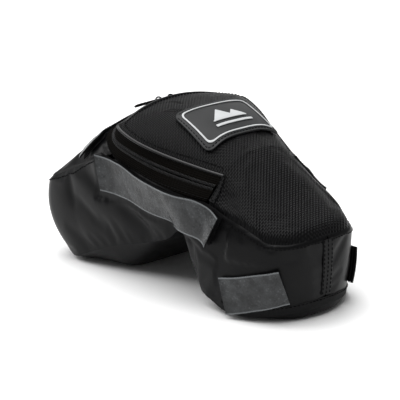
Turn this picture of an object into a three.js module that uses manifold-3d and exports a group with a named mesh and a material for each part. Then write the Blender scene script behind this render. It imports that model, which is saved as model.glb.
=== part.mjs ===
// Saddle-shaped soft bag for a motorcycle tank, millimetres, +Z up.
// +X points to the nose, the bag straddles the tank across Y, and Z = 0 is the plane it stands on.
// The near side is -Y and the far side is its mirror image.
import * as THREE from 'three';
import { mergeVertices } from 'three/addons/utils/BufferGeometryUtils.js';
import Module from 'manifold-3d';

const wasm = await Module();
wasm.setup();

// ---------------------------------------------------------------- driving dimensions
const VINYL = 1.2;              // outer vinyl panels
const FOAM = 4.5;               // closed-cell foam in the walls and top
const LINING = 0.8;             // nylon lining
const GAP = 0.35;               // air between layers that share one shape
const LAYER_GAP = 0.9;          // air between a panel and what lies on or under it
const TAPE_WIDTH = 38;          // hook-and-loop tape, 1.5 in
const TAPE_THICK = 1.0;
const LINER_THICK = 0.5;
const TAPE_BELOW_SEAM = 1.5;    // strips are sewn this far below the zip seam
const GUSSET_WIDTH = 35;        // lid edge to foot seam across the back
const CHAIN_WIDTH = 2.6;        // one row of zip teeth
const CHAIN_GAP = 1.6;          // split between the two rows
const CHAIN_OUT = 1.2;
const CHAIN_IN = 1.0;
const BACK_ARC_RADIUS = 190;    // back run of the zip, an arc about a tilted axis
const BACK_ARC_ANGLE = 24;      // degrees to each side
const SLIDER_REST_ANGLE = 2.5;
const HINGE_X = 80;             // lid fold line
const PIPING_RADIUS = 1.5;
const BADGE_HALF_WIDTH = 49;
const BADGE_HALF_LENGTH = 28;
const BADGE_CENTRE_X = 30.5;
const BADGE_CORNER = 9;
const BADGE_THICK = 2;
const PULL_LENGTH = 34;
const PULL_WIDTH = 7;
const BOX_CENTRE_X = 2.68;      // the frame's origin is moved under the middle of the whole bag

const ZIP_AXIS = new THREE.Vector3(0.82, 0, 0.572).normalize();
const ZIP_INWARD = new THREE.Vector3(0.572, 0, -0.82).normalize();
const LID_BACK_CENTRE = new THREE.Vector3(-49, 0, 183.5);
const ZIP_FOOT_CENTRE = LID_BACK_CENTRE.clone().addScaledVector(ZIP_AXIS, -GUSSET_WIDTH);

// ---------------------------------------------------------------- materials
const material = (color, roughness, metalness = 0) =>
  new THREE.MeshStandardMaterial({ color, roughness, metalness });
const MAT = {
  vinyl: material('#232324', 0.42),
  textured: material('#1c1c1d', 0.55),
  binding: material('#151516', 0.7),
  webbing: material('#12110f', 0.85),
  foam: material('#3b3b3d', 0.95),
  lining: material('#2a2a2c', 0.8),
  board: material('#202022', 0.6),
  coil: material('#0f0f10', 0.5),
  metal: material('#1a1a1b', 0.35, 0.7),
  rubber: material('#2b2c2d', 0.6),
  print: material('#c9cbcc', 0.55),
  loop: material('#111111', 0.95),
  hook: material('#0e0e0e', 0.9),
  liner: material('#77797b', 0.3),
  mesh: material('#19191a', 0.9),
};

const bag = new THREE.Group();
bag.name = 'tank_bag';

function add(name, mat, geometry) {
  const mesh = new THREE.Mesh(geometry, MAT[mat]);
  mesh.name = name;
  bag.add(mesh);
  return mesh;
}

// ---------------------------------------------------------------- curves
const vec = (x, y, z) => new THREE.Vector3(x, y, z);
const mix = (a, b, t) => a + (b - a) * t;
const mirrored = (p) => vec(p.x, -p.y, p.z);

// Smooth curve through a few points that never overshoots them.
function through(knots) {
  const slope = (i) => (knots[i + 1][1] - knots[i][1]) / (knots[i + 1][0] - knots[i][0]);
  const last = knots.length - 1;
  const tangent = knots.map((_, i) => {
    if (i === 0) return slope(0);
    if (i === last) return slope(last - 1);
    const [a, b] = [slope(i - 1), slope(i)];
    return a * b <= 0 ? 0 : (2 * a * b) / (a + b);
  });
  return (value) => {
    const x = Math.min(Math.max(value, knots[0][0]), knots[last][0]);
    let i = 0;
    while (i < last - 1 && x > knots[i + 1][0]) i += 1;
    const h = knots[i + 1][0] - knots[i][0];
    const t = (x - knots[i][0]) / h;
    return (2 * t ** 3 - 3 * t ** 2 + 1) * knots[i][1] + (t ** 3 - 2 * t ** 2 + t) * h * tangent[i]
      + (3 * t ** 2 - 2 * t ** 3) * knots[i + 1][1] + (t ** 3 - t ** 2) * h * tangent[i + 1];
  };
}

// Half a plan outline, from the nose centre round the near side to the back centre.
function halfPlan(points) {
  const near = points.map(([x, y]) => vec(x, y, 0));
  const far = near.slice(1, -1).map(mirrored).reverse();
  const loop = new THREE.CatmullRomCurve3([...near, ...far], true, 'catmullrom', 0.5);
  const share = near.length - 1;
  const samples = [];
  for (let k = 0; k <= share * 12; k += 1) {
    samples.push(loop.getPoint(k / 12 / (share + far.length + 1)));
  }
  const length = [0];
  for (let k = 1; k < samples.length; k += 1) {
    length.push(length[k - 1] + samples[k].distanceTo(samples[k - 1]));
  }
  return (t) => {
    const want = Math.min(Math.max(t, 0), 1) * length[length.length - 1];
    let k = 0;
    while (k < length.length - 2 && length[k + 1] < want) k += 1;
    const w = (want - length[k]) / (length[k + 1] - length[k]);
    return samples[k].clone().lerp(samples[k + 1], w);
  };
}

// Position along a half outline where it passes a given x.
function whereX(outline, x) {
  let [low, high] = [0, 1];
  for (let k = 0; k < 40; k += 1) {
    const middle = (low + high) / 2;
    if (outline(middle).x > x) low = middle;
    else high = middle;
  }
  return low;
}

const topPlan = halfPlan([
  [177, 0], [175.5, -22], [170, -40], [159, -52], [144, -60], [122, -64.5], [100, -68], [82, -72],
  [64, -79], [44, -85.5], [15, -88], [-60, -88], [-140, -88], [-159, -84], [-168, -72], [-171, -40], [-171, 0],
]);
const basePlan = halfPlan([
  [174, 0], [172, -20], [165, -37], [155, -51], [142, -61], [122, -71], [100, -74], [78, -74],
  [55, -70], [30, -68], [0, -70], [-40, -78], [-90, -84], [-120, -83], [-138, -70], [-144, -40], [-144, 0],
]);
const seamZ = through([
  [-171, 82], [-136, 97], [-100, 114], [-68, 130.5], [-35, 131], [-4, 124], [27, 119], [53, 115.5],
  [66, 114.5], [82, 109.5], [101, 101], [122, 94.5], [140, 87.5], [153, 82], [165, 82], [177, 84.5],
]);
const baseZ = through([
  [-144, 6], [-127, 4], [-87, 19], [-62, 30], [-10, 46], [15, 55], [38, 71], [48, 57],
  [55, 44], [65, 31], [74, 17], [90, 11], [104, 6], [125, 4], [150, 6], [162, 8], [174, 11],
]);
const centreBaseZ = through([
  [-144, 3], [-128, 0], [-62, 0], [-45, 8], [-20, 27], [10, 50], [36, 68], [48, 56],
  [60, 37], [74, 14], [88, 0], [162, 0], [174, 5],
]);
const lidCentreZ = through([[-49, 183.5], [-20, 185.5], [8, 181.5], [30, 175.5], [53, 166], [80, 153]]);

// ---------------------------------------------------------------- surfaces of the sewn shell
const WALL_BULGE = 2;
const BACK_BULGE = 11;

// Side wall: t runs from the nose centre to the back centre, v from the base edge to the top seam.
function wall(t, v) {
  const top = topPlan(t);
  const base = basePlan(t);
  top.z = seamZ(top.x);
  base.z = baseZ(base.x);
  const point = base.clone().lerp(top, v);
  const out = vec(point.x * 0.4, point.y, 0).normalize();
  const bulge = top.x < -120 ? mix(WALL_BULGE, BACK_BULGE, Math.min(1, (-120 - top.x) / 40)) : WALL_BULGE;
  return point.addScaledVector(out, bulge * 4 * v * (1 - v));
}

// Both ends of the zip gusset follow a run from the near front end to the back centre.
function zipEdge(sidePoints, backCentre) {
  const turn = (degrees) => {
    const a = THREE.MathUtils.degToRad(degrees);
    return backCentre.clone().addScaledVector(ZIP_INWARD, BACK_ARC_RADIUS * (1 - Math.cos(a)))
      .add(vec(0, -BACK_ARC_RADIUS * Math.sin(a), 0));
  };
  const near = [...sidePoints.map((p) => vec(...p)), ...[1, 2 / 3, 1 / 3].map((k) => turn(k * BACK_ARC_ANGLE))];
  const all = [...near, backCentre, ...near.map(mirrored).reverse()];
  return new THREE.CatmullRomCurve3(all, false, 'catmullrom', 0.5);
}
const lidEdge = zipEdge(
  [[80, -50, 134], [60, -59, 138], [20, -76, 147.5], [-12, -88, 158], [-36, -89, 167.5]],
  LID_BACK_CENTRE,
);
const footEdge = zipEdge(
  [[80, -71.5, 113], [58, -81.5, 117], [24, -87, 121], [-12, -87.5, 127], [-46, -87, 134.5]],
  ZIP_FOOT_CENTRE,
);
const CORNER = 0.5 * 5 / 8;     // run parameter where the side arm turns into the back arm

// Gusset: s runs near front end, back centre, far front end; v from the lid edge to the foot.
const gusset = (s, v) => lidEdge.getPoint(s).lerp(footEdge.getPoint(s), v);
const gussetWidth = (s) => lidEdge.getPoint(s).distanceTo(footEdge.getPoint(s));

// Lid top: u runs across from near to far (-1 to 1), v from the back edge to the fold line.
function lid(u, v) {
  const edge = lidEdge.getPoint(mix(CORNER, 0, v));
  const power = mix(2, 3.1, Math.min(1, v * 3));
  const centreX = mix(LID_BACK_CENTRE.x, HINGE_X, v);
  const centreZ = lidCentreZ(centreX);
  const z = centreZ - (centreZ - edge.z) * Math.abs(u) ** power;
  return vec(mix(centreX, edge.x, u * u), -u * edge.y, z);
}

// Point of the lid above a given plan position.
function lidAbove(x, y) {
  let v = (x - LID_BACK_CENTRE.x) / (HINGE_X - LID_BACK_CENTRE.x);
  let u = 0;
  for (let k = 0; k < 8; k += 1) {
    u = y / Math.abs(lid(1, v).y);
    v += (x - lid(u, v).x) / (HINGE_X - LID_BACK_CENTRE.x);
  }
  return lid(u, v);
}

// Point of a plan outline moved inward by inset.
function insetPlan(outline, t, inset) {
  const step = 0.004;
  const along = outline(t + step).sub(outline(t - step)).normalize();
  return outline(t).add(vec(-along.y, along.x, 0).multiplyScalar(-inset));
}

function seamPoint(t, inset) {
  const point = insetPlan(topPlan, t, inset);
  point.z = seamZ(point.x);
  return point;
}

const NOSE_SHOULDER = 20;
const NOSE_SEAM_END = whereX(topPlan, HINGE_X + 2);
const noseDome = through([[0, 0], [0.26, -0.5], [0.52, -1], [0.74, 0.5], [0.9, 2.5], [1, 0]]);

// Nose top: v runs from the fold line to the nose seam, u across; it fans out to the seam.
function noseTop(u, v, inset = 0) {
  const start = lid(u, 1);
  start.x += 0.6;
  const end = seamPoint(Math.abs(u) * NOSE_SEAM_END, inset);
  if (u > 0) end.y *= -1;
  const point = start.lerp(end, v);
  const shoulder = NOSE_SHOULDER * v * (1 - v) * Math.abs(u) * (1 - Math.abs(u));
  point.z += noseDome(v) * (1 - 0.5 * Math.abs(u) ** 3) + shoulder;
  return point;
}

// Back-lobe top: v runs from the gusset foot to the lobe seam, u across.
const LOBE_DOME = 3;
const LOBE_SEAM_START = whereX(topPlan, -62);
const LOBE_FOOT_START = 0.5 * 4.15 / 8;
function lobeTop(u, v, inset = 0) {
  const s = 0.5 + 0.5 * u * (1 - 2 * LOBE_FOOT_START);
  const start = footEdge.getPoint(s);
  const end = seamPoint(mix(1, LOBE_SEAM_START, Math.abs(u)), inset);
  if (u > 0) end.y *= -1;
  const point = start.lerp(end, v);
  point.z += LOBE_DOME * 4 * v * (1 - v) * (1 - u * u);
  return point;
}

const basePower = through([[-144, 6], [-60, 6], [0, 4], [80, 4], [100, 8], [174, 8]]);

// Base: t as on the wall, q across from near (-1) to far (1).
function base(t, q, inset) {
  const edge = insetPlan(basePlan, t, inset);
  const height = centreBaseZ(edge.x);
  return vec(edge.x, -q * edge.y, height + (baseZ(edge.x) - height) * Math.abs(q) ** basePower(edge.x));
}

// ---------------------------------------------------------------- solids on those surfaces
// Closed slab between two offsets from a surface patch, along its outward normal.
function slab(surface, columns, rows, low, high) {
  const step = 1e-3;
  const pick = (offset, u, v) => (typeof offset === 'function' ? offset(u, v) : offset);
  const points = [];
  for (const offset of [low, high]) {
    for (let i = 0; i <= columns; i += 1) {
      for (let j = 0; j <= rows; j += 1) {
        const [u, v] = [i / columns, j / rows];
        const du = surface(Math.min(1, u + step), v).sub(surface(Math.max(0, u - step), v));
        const dv = surface(u, Math.min(1, v + step)).sub(surface(u, Math.max(0, v - step)));
        const normal = du.cross(dv).normalize();
        points.push(surface(u, v).addScaledVector(normal, pick(offset, u, v)));
      }
    }
  }
  const layer = (columns + 1) * (rows + 1);
  const at = (side, i, j) => side * layer + i * (rows + 1) + j;
  const faces = [];
  const quad = (a, b, c, d) => faces.push(a, b, c, a, c, d);
  for (let i = 0; i < columns; i += 1) {
    for (let j = 0; j < rows; j += 1) {
      quad(at(1, i, j), at(1, i + 1, j), at(1, i + 1, j + 1), at(1, i, j + 1));
      quad(at(0, i, j), at(0, i, j + 1), at(0, i + 1, j + 1), at(0, i + 1, j));
    }
    quad(at(0, i, 0), at(0, i + 1, 0), at(1, i + 1, 0), at(1, i, 0));
    quad(at(1, i, rows), at(1, i + 1, rows), at(0, i + 1, rows), at(0, i, rows));
  }
  for (let j = 0; j < rows; j += 1) {
    quad(at(1, 0, j), at(1, 0, j + 1), at(0, 0, j + 1), at(0, 0, j));
    quad(at(0, columns, j), at(0, columns, j + 1), at(1, columns, j + 1), at(1, columns, j));
  }
  const geometry = new THREE.BufferGeometry();
  geometry.setAttribute('position', new THREE.Float32BufferAttribute(points.flatMap((p) => p.toArray()), 3));
  geometry.setIndex(faces);
  geometry.computeVertexNormals();
  return geometry;
}

// Mirror image of a geometry across the centre plane, still facing out.
function flipped(geometry) {
  const copy = geometry.clone();
  copy.scale(1, -1, 1);
  const index = copy.index.array;
  for (let k = 0; k < index.length; k += 3) {
    [index[k], index[k + 1]] = [index[k + 1], index[k]];
  }
  copy.computeVertexNormals();
  return copy;
}

function addPair(stem, mat, geometry) {
  add(`${stem}_near`, mat, geometry);
  add(`${stem}_far`, mat, flipped(geometry));
}

// Patch of the near wall: t from the back to the nose, insets in millimetres from base and seam.
function wallPatch(tBack, tNose, baseInset, seamInset) {
  return (a, b) => {
    const t = mix(tBack, tNose, a);
    const height = wall(t, 0).distanceTo(wall(t, 1));
    return wall(t, mix(baseInset / height, 1 - seamInset / height, b));
  };
}

// Strip that runs round the wall across a centre seam, half on the near and half on the far side.
function acrossSeam(atNose, reach, vLow, vHigh) {
  return (a, b) => {
    const signed = mix(-reach, reach, a) * (atNose ? 1 : -1);
    const t = atNose ? Math.abs(signed) : 1 - Math.abs(signed);
    const point = wall(t, mix(vLow, vHigh(t), b));
    return signed > 0 ? mirrored(point) : point;
  };
}

// ---------------------------------------------------------------- outer panels
const SHELL = [-VINYL, 0];
const CENTRE_SEAM = 0.002;
addPair('wall_panel', 'vinyl', slab(wallPatch(1 - CENTRE_SEAM, CENTRE_SEAM, 0, 0.8), 34, 4, ...SHELL));

const SEAM_INSET = 2;
const BASE_INSET = 2.1;
const noseSewn = (a, b) => noseTop(b * 2 - 1, a, SEAM_INSET);
add('nose_top_panel', 'textured', slab(noseSewn, 8, 12, ...SHELL));

const lobeSewn = (a, b) => lobeTop(mix(-0.99, 0.99, a), mix(0.016, 1, b), SEAM_INSET);
add('lobe_top_panel', 'vinyl', slab(lobeSewn, 14, 5, ...SHELL));

function basePanel(xBack, xNose, inset) {
  const [tBack, tNose] = [whereX(basePlan, xBack), whereX(basePlan, xNose)];
  return (a, b) => base(mix(tBack, tNose, a), 1 - 2 * b, inset);
}
add('base_nose', 'vinyl', slab(basePanel(84.5, 174.5, BASE_INSET), 7, 6, ...SHELL));
add('base_tunnel', 'vinyl', slab(basePanel(-57, 83.5, BASE_INSET), 12, 6, ...SHELL));
add('base_back', 'vinyl', slab(basePanel(-143.4, -58, BASE_INSET), 7, 6, ...SHELL));

const HEM_WIDTH = 10;
const hemEnd = whereX(basePlan, 104);
const wallHeight = (t) => wall(t, 0).distanceTo(wall(t, 1));
const hem = acrossSeam(true, hemEnd, 0, (t) => HEM_WIDTH / wallHeight(t));
add('hem_binding', 'binding', slab(hem, 22, 1, GAP, GAP + 0.7));
const noseStrip = acrossSeam(true, 0.014, 0.17, () => 0.96);
add('nose_seam_strip', 'vinyl', slab(noseStrip, 2, 4, GAP, GAP + 0.7));
const backStrip = acrossSeam(false, 0.014, 0.04, () => 0.96);
add('back_seam_strip', 'vinyl', slab(backStrip, 2, 4, GAP, GAP + 0.7));

// ---------------------------------------------------------------- foam, lining and boards
const FOAM_BAND = [-(VINYL + LAYER_GAP + FOAM), -(VINYL + LAYER_GAP)];
const LINING_BAND = [FOAM_BAND[0] - GAP - LINING, FOAM_BAND[0] - GAP];
const wallPad = wallPatch(0.975, 0.03, 16, 9);
const deeper = (band) => band.map((offset) => offset - 2 * LAYER_GAP);
addPair('wall_foam', 'foam', slab(wallPad, 24, 3, ...deeper(FOAM_BAND)));
addPair('wall_lining', 'lining', slab(wallPad, 24, 3, ...deeper(LINING_BAND)));
const nosePad = (a, b) => noseTop((b * 2 - 1) * 0.8, mix(0.07, 1, a), 14);
add('nose_foam', 'foam', slab(nosePad, 6, 8, ...FOAM_BAND));
add('nose_lining', 'lining', slab(nosePad, 6, 8, ...LINING_BAND));
const BOARD_BAND = [-(VINYL + LAYER_GAP + 1.6), -(VINYL + LAYER_GAP)];
add('base_board_nose', 'board', slab(basePanel(100, 168, 11), 5, 6, ...BOARD_BAND));
add('base_board_back', 'board', slab(basePanel(-136, -68, 13), 5, 6, ...BOARD_BAND));

// ---------------------------------------------------------------- lid
const LID_INSET = 2.1;
const lidPatch = (edge, back, front) => (a, b) => {
  const v = mix(back, front, a);
  const reach = 1 - edge / Math.abs(lid(1, v).y);
  const point = lid((b * 2 - 1) * reach, v);
  return lidAbove(point.x + edge * (1 - v), point.y);
};
add('lid_panel', 'textured', slab(lidPatch(LID_INSET, 0, 1), 10, 12, ...SHELL));
add('lid_foam', 'foam', slab(lidPatch(9, 0, 0.94), 8, 8, ...FOAM_BAND));
add('lid_lining', 'lining', slab(lidPatch(9, 0, 0.94), 8, 8, ...LINING_BAND));
const POCKET_BAND = [LINING_BAND[0] - 2, LINING_BAND[0] - 1.2];
add('lid_mesh_pocket', 'mesh', slab(lidPatch(22, 0.2, 0.75), 6, 6, ...POCKET_BAND));

const pipingShape = new THREE.Shape().absarc(0, 0, PIPING_RADIUS, 0, Math.PI * 2);
const piping = new THREE.ExtrudeGeometry(pipingShape, {
  steps: 48, curveSegments: 3, bevelEnabled: false, extrudePath: lidEdge,
});
add('lid_piping', 'vinyl', piping);

// ---------------------------------------------------------------- zip
// Band of the gusset between two distances from its middle line, positive towards the foot.
const gussetBand = (from, to) => (a, b) => {
  const s = mix(0.001, 0.999, a);
  const width = gussetWidth(s);
  const clamp = (d) => (typeof d === 'function' ? d(width) : d);
  return gusset(s, 0.5 + mix(clamp(from), clamp(to), b) / width);
};
const CHAIN_EDGE = CHAIN_GAP / 2;
const TAPE_EDGE = CHAIN_EDGE + CHAIN_WIDTH + GAP;
const upperEnd = (width) => -(width / 2 - LID_INSET);
const lowerEnd = (width) => width / 2 - 1.8;
const TAPE_BAND = [-0.4, 0.4];
const CHAIN_BAND = [-CHAIN_IN, CHAIN_OUT];
add('zip_tape_upper', 'webbing', slab(gussetBand(upperEnd, -TAPE_EDGE), 40, 1, ...TAPE_BAND));
add('zip_tape_lower', 'webbing', slab(gussetBand(TAPE_EDGE, lowerEnd), 40, 1, ...TAPE_BAND));
const chainRow = (side) => gussetBand(side * CHAIN_EDGE, side * (CHAIN_EDGE + CHAIN_WIDTH));
const upperRow = chainRow(-1);
add('zip_row_upper', 'coil', slab((a, b) => upperRow(a, 1 - b), 40, 1, ...CHAIN_BAND));
add('zip_row_lower', 'coil', slab(chainRow(1), 40, 1, ...CHAIN_BAND));

const TAB_WIDTH = 5;
const zipEnd = (a, b) => {
  const v = mix(0.06, 0.92, b);
  const halfSpan = noseTop(0, v).distanceTo(noseTop(-1, v));
  return noseTop(-(1 - (a * TAB_WIDTH) / halfSpan), v);
};
const zipEndOut = (a, b) => zipEnd(1 - a, b);
addPair('zip_end_tab', 'binding', slab(zipEndOut, 2, 3, LAYER_GAP, LAYER_GAP + 0.8));

// ---------------------------------------------------------------- sliders and pulls
const block = (size, centre) => new THREE.BoxGeometry(...size).translate(...centre);

function toSolid(geometry) {
  const bare = geometry.clone();
  bare.deleteAttribute('normal');
  bare.deleteAttribute('uv');
  const welded = mergeVertices(bare, 1e-4);
  return new wasm.Manifold(new wasm.Mesh({
    numProp: 3,
    vertProperties: Float32Array.from(welded.attributes.position.array),
    triVerts: Uint32Array.from(welded.index.array),
  }));
}

function joined(pieces) {
  const solid = pieces.map(toSolid).reduce((sum, piece) => sum.add(piece));
  const { vertProperties, triVerts } = solid.getMesh();
  const geometry = new THREE.BufferGeometry();
  geometry.setAttribute('position', new THREE.Float32BufferAttribute(vertProperties, 3));
  geometry.setIndex([...triVerts]);
  geometry.computeVertexNormals();
  return geometry;
}

// Slider frame: X outwards along the rows, Y towards the lid, Z out of the gusset.
const zipCentre = gusset(0.5, 0.5);
function zipFrame(degrees) {
  const a = THREE.MathUtils.degToRad(degrees);
  const outward = ZIP_INWARD.clone().multiplyScalar(-Math.cos(a)).add(vec(0, -Math.sin(a), 0));
  const along = ZIP_INWARD.clone().multiplyScalar(Math.sin(a)).add(vec(0, -Math.cos(a), 0));
  const origin = zipCentre.clone().addScaledVector(ZIP_INWARD, BACK_ARC_RADIUS)
    .addScaledVector(outward, BACK_ARC_RADIUS);
  return new THREE.Matrix4().makeBasis(along, ZIP_AXIS, outward).setPosition(origin);
}
const restFrame = zipFrame(SLIDER_REST_ANGLE);

const PIVOT_HEIGHT = 4.4;
const slider = joined([
  block([11, 8.6, 1.2], [0, 0, 2.5]),
  block([5, 0.8, 5.4], [0, 0, -0.4]),
  block([9, 4.4, 0.9], [0, 1.8, -2.45]),
  block([1, 2.6, 4], [-3.1, 0, 4.8]),
  block([1, 2.6, 4], [3.1, 0, 4.8]),
  block([7.2, 2.6, 1], [0, 0, 6.5]),
]);
addPair('zip_slider', 'metal', slider.applyMatrix4(restFrame));

const grip = new THREE.Shape();
const GRIP_START = 4.8;
grip.moveTo(GRIP_START, -3.1);
grip.lineTo(PULL_LENGTH - 8, -PULL_WIDTH / 2);
grip.absarc(PULL_LENGTH - PULL_WIDTH / 2, 0, PULL_WIDTH / 2, -Math.PI / 2, Math.PI / 2);
grip.lineTo(GRIP_START, 3.1);
grip.holes.push(new THREE.Path().absarc(PULL_LENGTH - PULL_WIDTH / 2, 0, 1.5, 0, Math.PI * 2));
const gripPlate = new THREE.ExtrudeGeometry(grip, { depth: 1.6, curveSegments: 6, bevelEnabled: false });
const pull = joined([
  gripPlate.translate(0, 0, PIVOT_HEIGHT - 0.8),
  block([6.2, 1.1, 1.4], [2.5, -2.55, PIVOT_HEIGHT]),
  block([6.2, 1.1, 1.4], [2.5, 2.55, PIVOT_HEIGHT]),
  new THREE.CylinderGeometry(0.65, 0.65, 5.4, 8).translate(0, 0, PIVOT_HEIGHT),
]);
addPair('zip_pull', 'metal', pull.applyMatrix4(restFrame));

// ---------------------------------------------------------------- badge
const BADGE_TOP = LAYER_GAP + BADGE_THICK;
function badgeFace(a, b) {
  const y = mix(-BADGE_HALF_WIDTH, BADGE_HALF_WIDTH, b);
  const past = Math.max(0, Math.abs(y) - (BADGE_HALF_WIDTH - BADGE_CORNER));
  const halfLength = BADGE_HALF_LENGTH - BADGE_CORNER + Math.sqrt(BADGE_CORNER ** 2 - past ** 2);
  return lidAbove(BADGE_CENTRE_X + mix(-halfLength, halfLength, a), y);
}
add('badge_base', 'rubber', slab(badgeFace, 4, 14, LAYER_GAP, BADGE_TOP));

const RING = [BADGE_TOP + GAP, BADGE_TOP + GAP + 0.7];
const [RING_X, RING_Y, RING_CORNER, RING_WIDTH] = [23.5, 43.5, 6, 1.6];
const ringPath = new THREE.Path();
ringPath.moveTo(-RING_X, 0);
ringPath.lineTo(-RING_X, -RING_Y + RING_CORNER);
ringPath.absarc(-RING_X + RING_CORNER, -RING_Y + RING_CORNER, RING_CORNER, Math.PI, Math.PI * 1.5);
ringPath.absarc(RING_X - RING_CORNER, -RING_Y + RING_CORNER, RING_CORNER, Math.PI * 1.5, Math.PI * 2);
ringPath.absarc(RING_X - RING_CORNER, RING_Y - RING_CORNER, RING_CORNER, 0, Math.PI / 2);
ringPath.absarc(-RING_X + RING_CORNER, RING_Y - RING_CORNER, RING_CORNER, Math.PI / 2, Math.PI);
ringPath.lineTo(-RING_X, 0);
function ring(a, b) {
  const s = mix(0.002, 0.998, a);
  const p = ringPath.getPointAt(s);
  const scale = 1 - (b * RING_WIDTH) / RING_Y;
  const scaleX = 1 - (b * RING_WIDTH) / RING_X;
  return lidAbove(BADGE_CENTRE_X + p.x * scaleX, p.y * scale);
}
add('badge_border', 'print', slab(ring, 40, 1, ...RING));

const PEAK_FOOT = 5;
const ridge = (y) => Math.max(17 - 1.05 * Math.abs(y + 6), 12 - 0.95 * Math.abs(y - 11), 1.5);
const peak = (a, b) => {
  const y = mix(-22, 22, b);
  return lidAbove(BADGE_CENTRE_X + mix(PEAK_FOOT - ridge(y), PEAK_FOOT, a), y);
};
add('badge_peak', 'print', slab(peak, 1, 12, ...RING));
const bar = (a, b) => lidAbove(BADGE_CENTRE_X + mix(9.5, 12.5, a), mix(-24, 24, b));
add('badge_bar', 'print', slab(bar, 1, 6, ...RING));

// ---------------------------------------------------------------- hook-and-loop strips
// Loop is sewn to the bag, hook presses on it and the release liner covers the hook's glue.
function addStrip(stem, surface, columns, rows, clearance, flare, both) {
  const lift = (start) => (a) => start + flare * Math.max(0, (Math.abs(a - 0.5) - 0.38) / 0.12) ** 2;
  const hookStart = clearance + TAPE_THICK + GAP;
  const linerStart = hookStart + TAPE_THICK + GAP;
  const put = both ? addPair : add;
  put(`loop_${stem}`, 'loop', slab(surface, columns, rows, clearance, clearance + TAPE_THICK));
  put(`hook_${stem}`, 'hook', slab(surface, columns, rows, lift(hookStart), lift(hookStart + TAPE_THICK)));
  put(`liner_${stem}`, 'liner', slab(surface, columns, rows, lift(linerStart), lift(linerStart + LINER_THICK)));
}

const sideStrip = (() => {
  const [tBack, tNose] = [whereX(topPlan, -62), whereX(topPlan, 100)];
  return (a, b) => {
    const t = mix(tBack, tNose, a) + 0.035 * (1 - b) * a ** 3;
    const rise = 6 * Math.max(0, 1 - a / 0.3) ** 2;
    const fromSeam = mix(TAPE_BELOW_SEAM + TAPE_WIDTH, TAPE_BELOW_SEAM, b) - rise;
    return wall(t, 1 - fromSeam / wallHeight(t));
  };
})();
addStrip('side', sideStrip, 13, 2, LAYER_GAP + 0.6, 7, true);

const noseStripFace = (() => {
  const [tBack, tNose] = [whereX(basePlan, 106), whereX(basePlan, 158)];
  return (a, b) => {
    const t = mix(tBack, tNose, a) - 0.022 * (1 - b);
    return wall(t, mix(0.0, 0.2, a) + (0.92 * b * TAPE_WIDTH) / wallHeight(t));
  };
})();
addStrip('nose', noseStripFace, 7, 2, GAP + LAYER_GAP + 0.7, 1.5, true);

const rearStrip = (a, b) => {
  const u = mix(-0.8, 0.8, a);
  const length = lobeTop(u, 0).distanceTo(lobeTop(u, 1));
  return lobeTop(u, mix(TAPE_BELOW_SEAM + 2, TAPE_BELOW_SEAM + 2 + TAPE_WIDTH, b) / length);
};
addStrip('rear', rearStrip, 13, 2, LAYER_GAP, 7, false);

bag.position.x = -BOX_CENTRE_X;

export default bag;
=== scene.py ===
import math

import bpy
import numpy as np
from mathutils import Matrix, Vector, noise


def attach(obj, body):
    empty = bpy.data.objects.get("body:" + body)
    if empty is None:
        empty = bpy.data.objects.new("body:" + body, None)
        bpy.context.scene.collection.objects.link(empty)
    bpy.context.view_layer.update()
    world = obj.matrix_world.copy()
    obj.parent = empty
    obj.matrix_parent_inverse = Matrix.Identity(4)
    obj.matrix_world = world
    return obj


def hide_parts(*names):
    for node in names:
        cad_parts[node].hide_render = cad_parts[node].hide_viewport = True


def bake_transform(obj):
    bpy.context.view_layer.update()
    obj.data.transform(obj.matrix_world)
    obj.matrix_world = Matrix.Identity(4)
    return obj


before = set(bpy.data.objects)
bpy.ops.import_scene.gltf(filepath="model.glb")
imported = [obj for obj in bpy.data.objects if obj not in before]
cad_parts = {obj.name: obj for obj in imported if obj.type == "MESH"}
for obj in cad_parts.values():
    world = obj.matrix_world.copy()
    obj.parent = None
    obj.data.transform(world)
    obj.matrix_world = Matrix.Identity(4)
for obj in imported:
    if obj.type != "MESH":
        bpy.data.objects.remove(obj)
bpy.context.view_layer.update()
MM = 0.001
BOX_CENTRE_X = 2.68     # the frame's origin is under the middle of the whole bag


def metres(points):
    """Working points in millimetres as points of the frame."""
    return (np.asarray(points, float) - (BOX_CENTRE_X, 0, 0)) * MM


# ---------------------------------------------------------------- side walls
# Two mirrored walls of foam-backed PVC-coated cloth run from the nose seam round to the back seam.
# They are cut flat, sewn to the top and the base, and the foam swells them between those seams.
WALL_THICK = 1.2
BULGE = 2
BACK_BULGE = 11
SEAM_ROLL = 1.6     # how far a panel's edge dives into its seam


def spline(points, closed=False):
    """Smooth curve through the points, as a function of 0 to 1."""
    p = np.array(points, float)
    if closed:
        ends = np.vstack([p[-1:], p, p[:2]])
        spans = len(p)
    else:
        ends = np.vstack([2 * p[:1] - p[1:2], p, 2 * p[-1:] - p[-2:-1]])
        spans = len(p) - 1

    def at(t):
        place = np.clip(np.asarray(t, float), 0, 1) * spans
        i = np.minimum(place.astype(int), spans - 1)
        w = (place - i)[..., None]
        a, b, c, d = (ends[i + k] for k in range(4))
        start, finish = (c - a) / 2, (d - b) / 2
        return b + w * (start + w * (3 * (c - b) - 2 * start - finish + w * (2 * (b - c) + start + finish)))

    return at


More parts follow.
